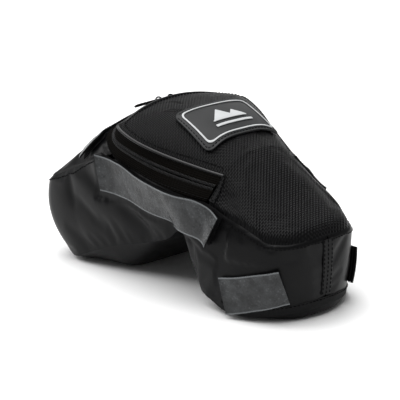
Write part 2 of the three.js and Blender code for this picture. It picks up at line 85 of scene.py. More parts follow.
def through(knots):
    """Smooth curve through a few values that never overshoots them."""
    x, y = np.array(knots, float).T
    slope = np.diff(y) / np.diff(x)
    same_way = slope[:-1] * slope[1:] > 0
    total = np.where(same_way, slope[:-1] + slope[1:], 1)
    inner = np.where(same_way, 2 * slope[:-1] * slope[1:] / total, 0)
    tangent = np.concatenate([slope[:1], inner, slope[-1:]])

    def at(value):
        value = np.clip(value, x[0], x[-1])
        i = np.clip(np.searchsorted(x, value) - 1, 0, len(x) - 2)
        h = x[i + 1] - x[i]
        t = (value - x[i]) / h
        rise = (2 * t**3 - 3 * t**2 + 1) * y[i] + (3 * t**2 - 2 * t**3) * y[i + 1]
        return rise + (t**3 - 2 * t**2 + t) * h * tangent[i] + (t**3 - t**2) * h * tangent[i + 1]

    return at


def half_plan(corners):
    """Half a plan outline, from the nose centre round the near side to the back centre."""
    near = np.array([(x, y, 0.0) for x, y in corners])
    far = near[1:-1][::-1] * (1, -1, 1)
    loop = spline(np.vstack([near, far]), closed=True)
    share = len(near) - 1
    samples = loop(np.linspace(0, share / (share + len(far) + 1), share * 12 + 1))
    length = np.concatenate([[0], np.cumsum(np.linalg.norm(np.diff(samples, axis=0), axis=1))])

    def at(t):
        want = np.clip(t, 0, 1) * length[-1]
        return np.stack([np.interp(want, length, samples[:, k]) for k in range(3)], axis=-1)

    return at


def where_x(outline, x):
    """Position along a half outline where it passes a given x."""
    t = np.linspace(0, 1, 4001)
    return float(np.interp(x, outline(t)[::-1, 0], t[::-1]))


top_plan = half_plan([
    (177, 0), (175.5, -22), (170, -40), (159, -52), (144, -60), (122, -64.5), (100, -68), (82, -72),
    (64, -79), (44, -85.5), (15, -88), (-60, -88), (-140, -88), (-159, -84), (-168, -72), (-171, -40),
    (-171, 0),
])
base_plan = half_plan([
    (174, 0), (172, -20), (165, -37), (155, -51), (142, -61), (122, -71), (100, -74), (78, -74),
    (55, -70), (30, -68), (0, -70), (-40, -78), (-90, -84), (-120, -83), (-138, -70), (-144, -40),
    (-144, 0),
])
seam_z = through([
    (-171, 82), (-136, 97), (-100, 114), (-68, 130.5), (-35, 131), (-4, 124), (27, 119), (53, 115.5),
    (66, 114.5), (82, 109.5), (101, 101), (122, 94.5), (140, 87.5), (153, 82), (165, 82), (177, 84.5),
])
base_z = through([
    (-144, 6), (-127, 4), (-87, 19), (-62, 30), (-10, 46), (15, 55), (38, 71), (48, 57), (55, 44),
    (65, 31), (74, 17), (90, 11), (104, 6), (125, 4), (150, 6), (162, 8), (174, 11),
])


def mix(a, b, t):
    return a + (b - a) * t


def wall(t, v):
    """Outer face of the near wall: t from nose centre to back centre, v from base edge to top seam."""
    t, v = np.broadcast_arrays(np.asarray(t, float), np.asarray(v, float))
    top, base = top_plan(t), base_plan(t)
    top[..., 2] = seam_z(top[..., 0])
    base[..., 2] = base_z(base[..., 0])
    point = mix(base, top, v[..., None])
    out = point * (0.4, 1, 0)
    out /= np.linalg.norm(out, axis=-1, keepdims=True)
    bulge = mix(BULGE, BACK_BULGE, np.clip((-120 - top[..., 0]) / 40, 0, 1))
    return point + out * (bulge * 4 * v * (1 - v))[..., None]


def wall_height(t):
    return np.linalg.norm(wall(t, 1) - wall(t, 0), axis=-1)


def wall_patch(t_back, t_nose, base_inset, seam_inset):
    """Patch of the near wall, with insets in millimetres from the base edge and the top seam."""
    def at(a, b):
        t = mix(t_back, t_nose, a)
        height = wall_height(t)
        return wall(t, mix(base_inset / height, 1 - seam_inset / height, b))

    return at


def outward(surface, a, b):
    """Unit normal of a surface, on the side that faces out."""
    step = 1e-3
    du = surface(np.minimum(1, a + step), b) - surface(np.maximum(0, a - step), b)
    dv = surface(a, np.minimum(1, b + step)) - surface(a, np.maximum(0, b - step))
    normal = np.cross(du, dv)
    return normal / np.linalg.norm(normal, axis=-1, keepdims=True)


def distances(points):
    """Running distance along each row of points."""
    steps = np.linalg.norm(np.diff(points, axis=0), axis=-1)
    return np.concatenate([[0], np.cumsum(steps)])


def panel(name, surface, columns, rows, lift=0.0, mirror=False):
    """Open sheet over a surface, raised by lift. UV Cloth is the flat cloth in metres; Share is 0 to 1."""
    a, b = np.meshgrid(np.linspace(0, 1, columns + 1), np.linspace(0, 1, rows + 1), indexing="ij")
    rise = lift(a, b) if callable(lift) else lift + 0 * a
    points = surface(a, b) + outward(surface, a, b) * rise[..., None]
    if mirror:
        points = points * (1, -1, 1)
    index = np.arange(a.size).reshape(a.shape)
    faces = np.stack([index[:-1, :-1], index[1:, :-1], index[1:, 1:], index[:-1, 1:]], -1).reshape(-1, 4)
    if mirror:
        faces = faces[:, ::-1]
    mesh = bpy.data.meshes.new(name)
    mesh.from_pydata(metres(points.reshape(-1, 3)).tolist(), [], faces.tolist())
    along = distances(points[:, rows // 2])
    across = distances(points[columns // 2])
    flat = np.stack(np.meshgrid(along, across, indexing="ij"), -1).reshape(-1, 2) * MM
    corner = np.empty(len(mesh.loops), int)
    mesh.loops.foreach_get("vertex_index", corner)
    mesh.uv_layers.new(name="Cloth").data.foreach_set("uv", flat[corner].ravel())
    share = np.stack([a, b], -1).reshape(-1, 2)
    mesh.uv_layers.new(name="Share").data.foreach_set("uv", share[corner].ravel())
    mesh.shade_smooth()
    piece = bpy.data.objects.new(name, mesh)
    bpy.context.collection.objects.link(piece)
    return piece


def keep_modifiers(piece):
    """Make what the modifiers show into the piece's own mesh."""
    graph = bpy.context.evaluated_depsgraph_get()
    shown = bpy.data.meshes.new_from_object(
        piece.evaluated_get(graph), preserve_all_data_layers=True, depsgraph=graph)
    piece.data = shown
    piece.modifiers.clear()
    return piece


def thicken(piece, thick, smooth_below=40):
    """Give an open sheet its thickness, behind the face that shows."""
    solid = piece.modifiers.new("Thickness", "SOLIDIFY")
    solid.thickness = thick * MM
    solid.offset = -1
    keep_modifiers(piece)
    piece.data.set_sharp_from_angle(angle=math.radians(smooth_below))
    return piece


def swell(piece, limit, pressure=4.0, slack=0.015, stiffness=6.0, frames=18):
    """Blow a sewn sheet out between its seams. limit is how far each point may go, in mm, and 0 is sewn."""
    limit = np.asarray(limit, float).ravel()
    sewn = piece.vertex_groups.new(name="sewn")
    sewn.add(np.flatnonzero(limit <= 0.01).tolist(), 1.0, "REPLACE")
    before = np.empty(len(limit) * 3)
    piece.data.vertices.foreach_get("co", before)
    cloth = piece.modifiers.new("Cloth", "CLOTH")
    cloth.point_cache.frame_end = frames
    settings = cloth.settings
    settings.quality = 6
    settings.mass = 0.3
    settings.tension_stiffness = 25
    settings.compression_stiffness = 25
    settings.shear_stiffness = 12
    settings.bending_stiffness = stiffness
    settings.shrink_min = -slack
    settings.vertex_group_mass = "sewn"
    settings.use_pressure = True
    settings.uniform_pressure_force = pressure
    settings.effector_weights.gravity = 0
    for moment in range(1, frames + 1):
        bpy.context.scene.frame_set(moment)
    graph = bpy.context.evaluated_depsgraph_get()
    after = np.empty(len(limit) * 3)
    piece.evaluated_get(graph).data.vertices.foreach_get("co", after)
    piece.modifiers.clear()
    piece.vertex_groups.clear()
    bpy.context.scene.frame_set(1)
    move = (after - before).reshape(-1, 3)
    length = np.linalg.norm(move, axis=1) + 1e-9
    reach = limit * MM
    kept = reach * np.tanh(length / np.maximum(reach, 1e-9)) / length
    piece.data.vertices.foreach_set("co", (before.reshape(-1, 3) + move * kept[:, None]).ravel())
    piece.data.update()
    return piece


def linear(hex_colour):
    """sRGB hex colour as the linear one that a shader takes."""
    parts = [int(hex_colour[k:k + 2], 16) / 255 for k in (1, 3, 5)]
    return (*[c / 12.92 if c <= 0.04045 else ((c + 0.055) / 1.055) ** 2.4 for c in parts], 1.0)


def add_node(tree, kind, links=None, **settings):
    """Add a node; links gives each named or numbered input a socket or a value."""
    made = tree.nodes.new(kind)
    for key, value in settings.items():
        setattr(made, key, value)
    for name, source in (links or {}).items():
        if isinstance(source, bpy.types.NodeSocket):
            tree.links.new(source, made.inputs[name])
        else:
            made.inputs[name].default_value = source
    return made


def finish(name, colour, wear_and_reflection_colour, roughness, relief, depth, patch=14, shade=None, **shader):
    """Material: two colours in patches of so many mm or by shade, and a relief that is depth mm deep.

    Every relief and shade takes the same three arguments, and uses the place, the flat cloth or both.
    """
    made = bpy.data.materials.new(name)
    made.use_nodes = True
    made.diffuse_color = linear(colour)
    tree = made.node_tree
    surface = tree.nodes["Principled BSDF"]
    place = add_node(tree, "ShaderNodeTexCoord").outputs["Object"]
    cloth = add_node(tree, "ShaderNodeUVMap", uv_map="Cloth").outputs["UV"]
    cloud = add_node(tree, "ShaderNodeTexNoise", {"Vector": place, "Scale": 1 / (patch * MM), "Detail": 3.0})
    where = shade(tree, place, cloth) if shade else cloud.outputs[0]
    # The second colour gives random patches in most finishes; on the release film it is painted reflection.
    tone = add_node(tree, "ShaderNodeMix", {"Factor": where}, data_type="RGBA")
    tone.inputs["A"].default_value = linear(colour)
    tone.inputs["B"].default_value = linear(wear_and_reflection_colour)
    tree.links.new(tone.outputs["Result"], surface.inputs["Base Color"])
    gloss = add_node(tree, "ShaderNodeMapRange", {"Value": cloud.outputs[0], "To Min": roughness - 0.05,
                                                  "To Max": roughness + 0.07})
    tree.links.new(gloss.outputs["Result"], surface.inputs["Roughness"])
    height = relief(tree, place, cloth)
    bump = add_node(tree, "ShaderNodeBump", {"Height": height, "Distance": depth * MM, "Strength": 1.0})
    tree.links.new(bump.outputs["Normal"], surface.inputs["Normal"])
    for socket, value in shader.items():
        surface.inputs[socket.replace("_", " ")].default_value = value
    return made


def ripple(tree, cloth, pitch_along, pitch_across):
    """Ribs over the flat cloth: a sine of that pitch in mm along it, across it, or both."""
    axes = add_node(tree, "ShaderNodeSeparateXYZ", {0: cloth})
    parts = []
    for axis, pitch in (("X", pitch_along), ("Y", pitch_across)):
        if pitch:
            turn = add_node(tree, "ShaderNodeMath", {0: axes.outputs[axis], 1: 2 * math.pi / (pitch * MM)},
                            operation="MULTIPLY")
            wave = add_node(tree, "ShaderNodeMath", {0: turn.outputs[0]}, operation="SINE")
            parts.append(wave.outputs[0])
    if len(parts) == 1:
        return parts[0]
    return add_node(tree, "ShaderNodeMath", {0: parts[0], 1: parts[1]}, operation="MULTIPLY").outputs[0]


def calendered_grain(tree, place, cloth):
    """Shallow pebbles of a calendered vinyl face, 1.6 mm across so that they show, over soft dimples."""
    pebbles = add_node(tree, "ShaderNodeTexVoronoi", {"Vector": place, "Scale": 1 / (1.6 * MM)})
    dimples = add_node(tree, "ShaderNodeTexNoise", {"Vector": place, "Scale": 1 / (9 * MM), "Detail": 2.0})
    return add_node(tree, "ShaderNodeMath", {0: pebbles.outputs["Distance"], 1: dimples.outputs[0]},
                    operation="ADD").outputs[0]


# Calendered PVC on a polyester backing: satin, with broad soft highlights.
calendered_vinyl = finish("calendered_vinyl", "#09090a", "#0e0e0f", 0.34, calendered_grain, 0.05,
                          IOR=1.52, Specular_IOR_Level=0.11)


def crease(x, z, start, end, width, depth):
    """Fold line on the wall from start to end in (x, z), with a raised shoulder on both sides."""
    (x0, z0), (x1, z1) = start, end
    length = math.hypot(x1 - x0, z1 - z0)
    along = ((x - x0) * (x1 - x0) + (z - z0) * (z1 - z0)) / length**2
    across = ((x - x0) * (z1 - z0) - (z - z0) * (x1 - x0)) / length
    fade = np.exp(-(np.maximum(0, np.abs(along - 0.5) - 0.3) / 0.2) ** 2)
    scaled = (across / width) ** 2
    return -depth * fade * (1 - 0.7 * scaled) * np.exp(-scaled / 2)


# Folds that the sag of the two lobes presses into the wall, as (x, z) ends, width and depth.
WALL_FOLDS = [
    ((-96, 112), (-8, 66), 11, 1.8),
    ((-125, 88), (-70, 52), 13, 1.2),
    ((-40, 84), (4, 60), 7, 1.2),
    ((36, 86), (64, 64), 3.2, 2.0),
    ((46, 92), (72, 72), 3.6, 1.6),
    ((30, 77), (52, 66), 2.6, 1.5),
    ((78, 62), (112, 44), 8, 1.0),
]
STRIP_DEPTH = 42


def free_wall(a, b, surface):
    """How far each point of the wall may swell: least at the seams and under the side strip."""
    point = surface(a, b)
    edge = np.clip(np.minimum.reduce([a, 1 - a, b * 1.2, (1 - b) * 1.2]) * 9, 0, 1)
    below = seam_z(point[..., 0]) - point[..., 2]
    under_strip = (point[..., 0] > -74) & (point[..., 0] < 108) & (below < STRIP_DEPTH + 4)
    under_patch = (point[..., 0] > 96) & (point[..., 0] < 166) & (point[..., 2] < 58)
    reach = np.where(under_strip, 0.35, np.where(under_patch, 0.5, 5.0))
    for _ in range(6):
        reach = (reach + np.roll(reach, 1, 1) + np.roll(reach, -1, 1)) / 3
        reach = np.minimum(reach, np.where(under_strip | under_patch, 0.5, 5.0))
    return reach * edge


def wall_relief(a, b, surface, seed):
    """Sag of the wall before the foam swells it."""
    point = surface(a, b)
    x, z = point[..., 0], point[..., 2]
    rise = sum(crease(x, z, *fold) for fold in WALL_FOLDS)
    ripples = np.vectorize(lambda p, q: noise.noise(Vector((p / 52, q / 40, seed))))(x, z)
    loose = np.clip(free_wall(a, b, surface) / 4, 0, 1)
    from_top = np.minimum(wall_height_mid * (1 - b), 99)
    roll = -SEAM_ROLL * np.exp(-(from_top / 1.8) ** 2)
    return (rise + 0.8 * ripples) * loose + roll


CENTRE_SEAM = 0.002
near_wall = wall_patch(1 - CENTRE_SEAM, CENTRE_SEAM, 0, 0.3)
wall_height_mid = 88.0
walls = {}
for side in ("near", "far"):
    seed = 3.0 if side == "near" else 11.0
    piece = panel(f"side_wall_{side}", near_wall, 190, 40, lambda a, b: wall_relief(a, b, near_wall, seed),
                  mirror=side == "far")
    grid = np.meshgrid(np.linspace(0, 1, 191), np.linspace(0, 1, 41), indexing="ij")
    swell(piece, free_wall(*grid, near_wall), pressure=5.0, slack=0.009)
    thicken(piece, WALL_THICK)
    piece.data.materials.append(calendered_vinyl)
    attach(piece, "bag")
    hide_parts(f"wall_panel_{side}")
    walls[side] = piece


# ---------------------------------------------------------------- base panels
# Three vinyl panels close the two lobes and line the tunnel between them, sewn to the walls' lower edges.
# The tunnel panel is slack, so it creases where it turns up over the tank.
BASE_INSET = 0.3
centre_base_z = through([
    (-144, 3), (-128, 0), (-62, 0), (-45, 8), (-20, 27), (10, 50), (36, 68), (48, 56), (60, 37), (74, 14),
    (88, 0), (162, 0), (174, 5),
])
base_power = through([(-144, 6), (-60, 6), (0, 4), (80, 4), (100, 8), (174, 8)])


def inset_plan(outline, t, inset):
    """Point of a plan outline moved inward."""
    step = 0.004
    along = outline(t + step) - outline(t - step)
    along /= np.linalg.norm(along, axis=-1, keepdims=True)
    inward = np.stack([along[..., 1], -along[..., 0], 0 * along[..., 0]], -1)
    return outline(t) + inward * inset


def base(t, q, inset):
    """Underside: t as on the wall, q across from near (-1) to far (1)."""
    t, q = np.broadcast_arrays(np.asarray(t, float), np.asarray(q, float))
    edge = inset_plan(base_plan, t, inset)
    x = edge[..., 0]
    height = centre_base_z(x) + (base_z(x) - centre_base_z(x)) * np.abs(q) ** base_power(x)
    return np.stack([x, -q * edge[..., 1], height], -1)


def base_panel(x_back, x_nose):
    t_back, t_nose = where_x(base_plan, x_back), where_x(base_plan, x_nose)
    return lambda a, b: base(mix(t_back, t_nose, a), 1 - 2 * b, BASE_INSET)


def cut_size(surface, samples=80):
    """Length and width in metres and area in square metres of the cloth that covers a surface."""
    a, b = np.meshgrid(np.linspace(0, 1, samples), np.linspace(0, 1, samples), indexing="ij")
    p = surface(a, b) * MM
    area = np.linalg.norm(np.cross(p[1:, :-1] - p[:-1, :-1], p[:-1, 1:] - p[:-1, :-1]), axis=-1).sum()
    length = max(distances(p[:, k])[-1] for k in range(0, samples, 8))
    width = max(distances(p[k])[-1] for k in range(0, samples, 8))
    return length, width, min(area, length * width)


def declare_cloth(surface):
    """Work out how large the cloth was cut; the sizes are not kept or shown."""
    length, width, area = cut_size(surface)


def slack_base(a, b, surface):
    """Shallow creases across the tunnel panel, deepest where it turns."""
    x = surface(a, b)[..., 0]
    turn = np.exp(-((x - 38) / 26) ** 2)
    return 1.3 * turn * np.sin(x / 3.1 + 2.2 * np.sin(b * 9)) * np.sin(math.pi * b)


for name, x_back, x_nose in (("nose", 84, 174.8), ("tunnel", -57.5, 84), ("back", -143.8, -57.5)):
    surface = base_panel(x_back, x_nose)
    piece = panel(f"base_cloth_{name}", surface, 60, 60, lambda a, b: slack_base(a, b, surface))
    thicken(piece, WALL_THICK)
    piece.data.materials.append(calendered_vinyl)
    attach(piece, "bag")
    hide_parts(f"base_{name}")
    declare_cloth(surface)

# Semi-rigid polyethylene boards stiffen both floors: matt, faintly mottled from the sheet press.
def pressed_sheet(tree, place, cloth):
    """Faint orange peel of a pressed sheet, 3 mm across."""
    return add_node(tree, "ShaderNodeTexNoise", {"Vector": place, "Scale": 1 / (3 * MM)}).outputs[0]


pressed_polyethylene = finish("pressed_polyethylene", "#202022", "#262628", 0.55, pressed_sheet, 0.03,
                              IOR=1.5)
for name in ("base_board_nose", "base_board_back"):
    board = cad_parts[name]
    board.data.materials.clear()
    board.data.materials.append(pressed_polyethylene)


# ---------------------------------------------------------------- zip run
# The zip follows one arc across the back and a side arm down each side of the lid.
# Its two edges are the lid's piped rim and the foot seam, which is sewn to the wall and the back lobe.
ZIP_AXIS = np.array([0.82, 0, 0.572]) / math.hypot(0.82, 0.572)
ZIP_INWARD = np.array([0.572, 0, -0.82]) / math.hypot(0.82, 0.572)
ARC_RADIUS = 190
ARC_ANGLE = math.radians(24)
GUSSET_WIDTH = 35
LID_BACK = np.array([-49.0, 0, 183.5])
ZIP_FOOT = LID_BACK - ZIP_AXIS * GUSSET_WIDTH
CORNER = 0.5 * 5 / 8      # where the side arm turns into the back arc


def zip_edge(side_points, back_centre):
    """Run from the near front end round the back to the far front end."""
    turns = [back_centre + ZIP_INWARD * ARC_RADIUS * (1 - math.cos(angle))
             - np.array([0, 1, 0]) * ARC_RADIUS * math.sin(angle)
             for angle in (ARC_ANGLE, ARC_ANGLE * 2 / 3, ARC_ANGLE / 3)]
    near = np.vstack([side_points, turns])
    return spline(np.vstack([near, [back_centre], near[::-1] * (1, -1, 1)]))


lid_edge = zip_edge(
    [(80, -50, 134), (60, -59, 138), (20, -76, 147.5), (-12, -88, 158), (-36, -89, 167.5)], LID_BACK)
foot_edge = zip_edge(
    [(80, -71.5, 113), (58, -81.5, 117), (24, -87, 121), (-12, -87.5, 127), (-46, -87, 134.5)], ZIP_FOOT)


def gusset(s, v):
    return mix(lid_edge(s), foot_edge(s), np.asarray(v, float)[..., None])


def gusset_width(s):
    return np.linalg.norm(lid_edge(s) - foot_edge(s), axis=-1)


# ---------------------------------------------------------------- back-lobe top
# The vinyl top of the back lobe fans out from the zip foot to the lobe's seam.
# Foam under it keeps a low crown, and its edge dives into the seam all round.
SEWN_IN = 0.3
LOBE_DOME = 3
LOBE_REACH = 1.006
LOBE_SEAM_START = where_x(top_plan, -62)
LOBE_FOOT_START = 0.5 * 4.15 / 8


def seam_point(t, inset):
    point = inset_plan(top_plan, t, inset)
    point[..., 2] = seam_z(point[..., 0])
    return point


def mirror_where(point, far):
    return np.where(far[..., None], point * (1, -1, 1), point)


def lobe_top(a, b):
    a, b = np.broadcast_arrays(np.asarray(a, float), np.asarray(b, float))
    u = mix(-LOBE_REACH, LOBE_REACH, a)
    v = mix(-0.014, 1, b)
    start = foot_edge(0.5 + 0.5 * u * (1 - 2 * LOBE_FOOT_START))
    end = mirror_where(seam_point(mix(1, LOBE_SEAM_START, np.abs(u)), SEWN_IN), u > 0)
    point = mix(start, end, v[..., None])
    point[..., 2] += LOBE_DOME * 4 * v * (1 - v) * (1 - u * u)
    return point


def lobe_sag(a, b):
    point = lobe_top(a, b)
    x, y = point[..., 0], point[..., 1]
    ripples = np.vectorize(lambda p, q: noise.noise(Vector((p / 30, q / 38, 5.0))))(x, y)
    to_seam = (1 - b) * 70
    return 0.9 * ripples * np.sin(math.pi * b) - SEAM_ROLL * np.exp(-(to_seam / 1.8) ** 2)


lobe_cloth = panel("back_lobe_top", lobe_top, 110, 36, lobe_sag)
grid = np.meshgrid(np.linspace(0, 1, 111), np.linspace(0, 1, 37), indexing="ij")
lobe_edge = np.clip(np.minimum.reduce([grid[0] * 3, (1 - grid[0]) * 3, grid[1], 1 - grid[1]]) * 8, 0, 1)
swell(lobe_cloth, 0.6 * lobe_edge, pressure=3.0)
thicken(lobe_cloth, WALL_THICK)
lobe_cloth.data.materials.append(calendered_vinyl)
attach(lobe_cloth, "bag")
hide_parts("lobe_top_panel")


# ---------------------------------------------------------------- lid and nose top
# One foam-backed panel of embossed vinyl covers the lid and runs on down to the nose seam.
# The lid's fold line crosses it, where the lid's shape meets the nose's.
FOLD_X = 80
TOP_THICK = 1.2
UNDER_PIPING = 0.9
NOSE_SHOULDER = 20
lid_centre_z = through([(-49, 183.5), (-20, 185.5), (8, 181.5), (30, 175.5), (53, 166), (80, 153)])
nose_dome = through([(0, 0), (0.26, -0.5), (0.52, -1), (0.74, 0.5), (0.9, 2.5), (1, 0)])
NOSE_SEAM_END = where_x(top_plan, FOLD_X + 2)


def lid(u, v):
    """Lid top: u across from near (-1) to far (1), v from the back edge to the fold line."""
    u, v = np.broadcast_arrays(np.asarray(u, float), np.asarray(v, float))
    edge = lid_edge(mix(CORNER, 0, v))
    power = mix(2, 3.1, np.clip(v * 3, 0, 1))
    x = mix(LID_BACK[0], FOLD_X, v)
    z = lid_centre_z(x)
    height = z - (z - edge[..., 2]) * np.abs(u) ** power
    return np.stack([mix(x, edge[..., 0], u * u), -u * edge[..., 1], height], -1)


def lid_above(x, y):
    """Point of the lid above a given plan position."""
    length = FOLD_X - LID_BACK[0]
    v = (x - LID_BACK[0]) / length
    for _ in range(8):
        u = y / np.abs(lid(1, v)[..., 1])
        v = v + (x - lid(u, v)[..., 0]) / length
    return lid(u, v)


def lid_patch(edge, back, front, keep_edge=False):
    """Patch of the lid whose sides and back stay edge mm inside the rim."""
    def at(a, b):
        a, b = np.broadcast_arrays(np.asarray(a, float), np.asarray(b, float))
        v = mix(back, front, a)
        inside = edge * (1 - v**6) if keep_edge else edge
        reach = 1 - inside / np.abs(lid(1, v)[..., 1])
        point = lid((b * 2 - 1) * reach, v)
        return lid_above(point[..., 0] + edge * (1 - v), point[..., 1])

    return at


def nose_top(u, v, inset):
    """Nose top: u across, v from the fold line to the nose seam, fanning out to the seam."""
    u, v = np.broadcast_arrays(np.asarray(u, float), np.asarray(v, float))
    end = mirror_where(seam_point(np.abs(u) * NOSE_SEAM_END, inset), u > 0)
    point = mix(lid(u, 1), end, v[..., None])
    shoulder = NOSE_SHOULDER * v * (1 - v) * np.abs(u) * (1 - np.abs(u))
    point[..., 2] += nose_dome(v) * (1 - 0.5 * np.abs(u) ** 3) + shoulder
    return point


LID_SHARE = 0.56          # part of the panel's length that is lid
lid_part = lid_patch(UNDER_PIPING, 0, 1, keep_edge=True)


def top_panel(a, b):
    """The whole panel: a from the lid's back edge to the nose seam."""
    a, b = np.broadcast_arrays(np.asarray(a, float), np.asarray(b, float))
    on_lid = lid_part(np.clip(a / LID_SHARE, 0, 1), b)
    on_nose = nose_top(b * 2 - 1, np.clip((a - LID_SHARE) / (1 - LID_SHARE), 0, 1), SEWN_IN)
    return np.where((a < LID_SHARE)[..., None], on_lid, on_nose)


def top_relief(a, b):
    """Soft foam underneath, and edges that dive into the nose seam."""
    point = top_panel(a, b)
    x, y = point[..., 0], point[..., 1]
    ripples = np.vectorize(lambda p, q: noise.noise(Vector((p / 42, q / 42, 8.0))))(x, y)
    to_nose = (1 - a) * 100
    side = np.where(a > LID_SHARE, np.minimum(b, 1 - b) * 130, 50)
    to_seam = np.minimum(to_nose, side)
    return 0.5 * ripples - SEAM_ROLL * np.exp(-(to_seam / 1.8) ** 2)


TWILL_PITCH = 2.9


def embossed_twill(tree, place, cloth):
    """Embossing roll pattern: twill lines 2.9 mm apart on the bias, with a dot where each pair crosses."""
    bias = add_node(tree, "ShaderNodeMapping", {"Vector": place, "Rotation": (0, 0, math.radians(-45))})
    lines = ripple(tree, bias.outputs[0], TWILL_PITCH, None)
    dots = ripple(tree, bias.outputs[0], TWILL_PITCH, TWILL_PITCH)
    return add_node(tree, "ShaderNodeMath", {0: lines, 1: dots}, operation="ADD").outputs[0]


# Embossed vinyl: the twill breaks the highlight up, so it looks darker and drier than the walls.
embossed_vinyl = finish("embossed_vinyl", "#09090a", "#0d0d0e", 0.40, embossed_twill, 0.22, IOR=1.45,
                        Specular_IOR_Level=0.1)
top_cloth = panel("lid_and_nose_top", top_panel, 150, 110, top_relief)
grid = np.meshgrid(np.linspace(0, 1, 151), np.linspace(0, 1, 111), indexing="ij")
top_edge = np.clip(np.minimum.reduce([grid[0], 1 - grid[0], grid[1], 1 - grid[1]]) * 9, 0, 1)
swell(top_cloth, 0.5 * top_edge, pressure=3.0)
thicken(top_cloth, TOP_THICK)
top_cloth.data.materials.append(embossed_vinyl)
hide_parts("lid_panel", "nose_top_panel")
fold_height = lid_centre_z(FOLD_X)
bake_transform(top_cloth)


# ---------------------------------------------------------------- lid piping
# A vinyl-covered cord is sewn into the lid's rim and stiffens it.
# It is the same glossy-edged strip all round, open only at the fold line.
PIPING_RADIUS = 1.5


def cord_along(name, points, radius, sides=2):
    """Round strip along points, as a mesh."""
    curve = bpy.data.curves.new(name, "CURVE")
    curve.dimensions = "3D"
    line = curve.splines.new("POLY")
    line.points.add(len(points) - 1)
    line.points.foreach_set("co", np.column_stack([metres(points), np.ones(len(points))]).ravel())
    curve.bevel_depth = radius * MM
    curve.bevel_resolution = sides
    curve.use_fill_caps = True
    piece = bpy.data.objects.new(name, curve)
    bpy.context.collection.objects.link(piece)
    graph = bpy.context.evaluated_depsgraph_get()
    mesh = bpy.data.meshes.new_from_object(piece.evaluated_get(graph), depsgraph=graph)
    bpy.data.objects.remove(piece)
    mesh.uv_layers.new(name="Cloth")
    mesh.shade_smooth()
    made = bpy.data.objects.new(name, mesh)
    bpy.context.collection.objects.link(made)
    return made


# Extruded vinyl welt: smoother than the panels, so it carries the one bright line of the rim.
extruded_welt = finish("extruded_vinyl_welt", "#101011", "#161617", 0.30, calendered_grain, 0.03, IOR=1.53,
                       Specular_IOR_Level=0.35)
piping = cord_along("lid_piping_cord", lid_edge(np.linspace(0, 1, 260)), PIPING_RADIUS, 3)
piping.data.materials.append(extruded_welt)
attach(piping, "lid")
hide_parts("lid_piping")


# ---------------------------------------------------------------- zip tapes and coil
# Two woven polyester tapes with lengthwise ribs carry a nylon coil each, sewn between rim and foot seam.
# The upper tape and coil lift away with the lid.
CHAIN_SPLIT = 1.6
CHAIN_WIDTH = 2.6
TAPE_THICK = 0.8
TAPE_RIB = 2.7
COIL_PITCH = 1.5
COIL_WIRE = 0.38


def gusset_band(start, finish):
    """Band of the gusset between two distances from its middle line, positive towards the foot."""
    def at(a, b):
        s = mix(0.001, 0.999, a)
        width = gusset_width(s)
        low, high = (edge(width) if callable(edge) else edge for edge in (start, finish))
        return gusset(s, 0.5 + mix(low, high, b) / width)

    return at


def woven_tape(tree, place, cloth):
    """Herringbone tape weave, threads 0.9 mm apart."""
    return ripple(tree, cloth, 0.9, 0.9)


# Woven polyester: dull brown-black, with no highlight of its own.
woven_polyester = finish("woven_polyester_tape", "#070605", "#0c0a07", 0.85, woven_tape, 0.15, IOR=1.5,
                         Specular_IOR_Level=0.05)
tape_edge = CHAIN_SPLIT / 2 + CHAIN_WIDTH - 0.4
tape_bands = {
    "upper": ("lid", gusset_band(lambda width: -(width / 2 - 0.6), -tape_edge)),
    "lower": ("bag", gusset_band(tape_edge, lambda width: width / 2 + 0.9)),
}
for name, (body, band) in tape_bands.items():
    width = cut_size(band)[1] / MM
    piece = panel(f"zip_tape_{name}_woven", band, 260, 40,
                  lambda a, b: 0.3 + 0.28 * np.cos(2 * math.pi * b * round(width / TAPE_RIB)))
    thicken(piece, TAPE_THICK)
    piece.data.materials.append(woven_polyester)
    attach(piece, body)
    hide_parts(f"zip_tape_{name}")
    declare_cloth(band)


def coil(name, side):
    """Nylon monofilament wound as a flat helix along one edge of the zip."""
    s = np.linspace(0.004, 0.996, 2600)
    middle = gusset(s, 0.5 + side * (CHAIN_SPLIT / 2 + CHAIN_WIDTH / 2) / gusset_width(s))
    along = np.gradient(middle, axis=0)
    along /= np.linalg.norm(along, axis=1, keepdims=True)
    across = foot_edge(s) - lid_edge(s)
    across /= np.linalg.norm(across, axis=1, keepdims=True)
    out = np.cross(along, across)
    turn = distances(middle)[:, None] * 2 * math.pi / COIL_PITCH
    wound = across * np.cos(turn) * (CHAIN_WIDTH / 2 + 0.25) + out * np.sin(turn) * 0.85
    return cord_along(name, middle + wound, COIL_WIRE, 1)


def drawn_nylon(tree, place, cloth):
    """Drawn monofilament: near smooth."""
    return add_node(tree, "ShaderNodeTexNoise", {"Vector": place, "Scale": 1 / (0.8 * MM)}).outputs[0]


# Drawn nylon monofilament: black with a small hard glint on each turn.
drawn_nylon_coil = finish("drawn_nylon_coil", "#0a0a0b", "#0f0f10", 0.3, drawn_nylon, 0.02, IOR=1.53,
                          Specular_IOR_Level=0.35)
for name, body, side in (("upper", "lid", -1), ("lower", "bag", 1)):
    piece = coil(f"zip_coil_{name}", side)
    piece.data.materials.append(drawn_nylon_coil)
    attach(piece, body)
    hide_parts(f"zip_row_{name}")


# ---------------------------------------------------------------- sliders and pulls
# Two die-cast zinc sliders with black enamel meet at the back of the lid, each with a flat pull tab.
# A slider is a rounded plate, a neck between the coils and a bridge that holds the pull's pin.
SLIDER_REST = math.radians(2.5)
PIVOT_HEIGHT = 4.4
PULL_LENGTH = 34
PULL_WIDTH = 7


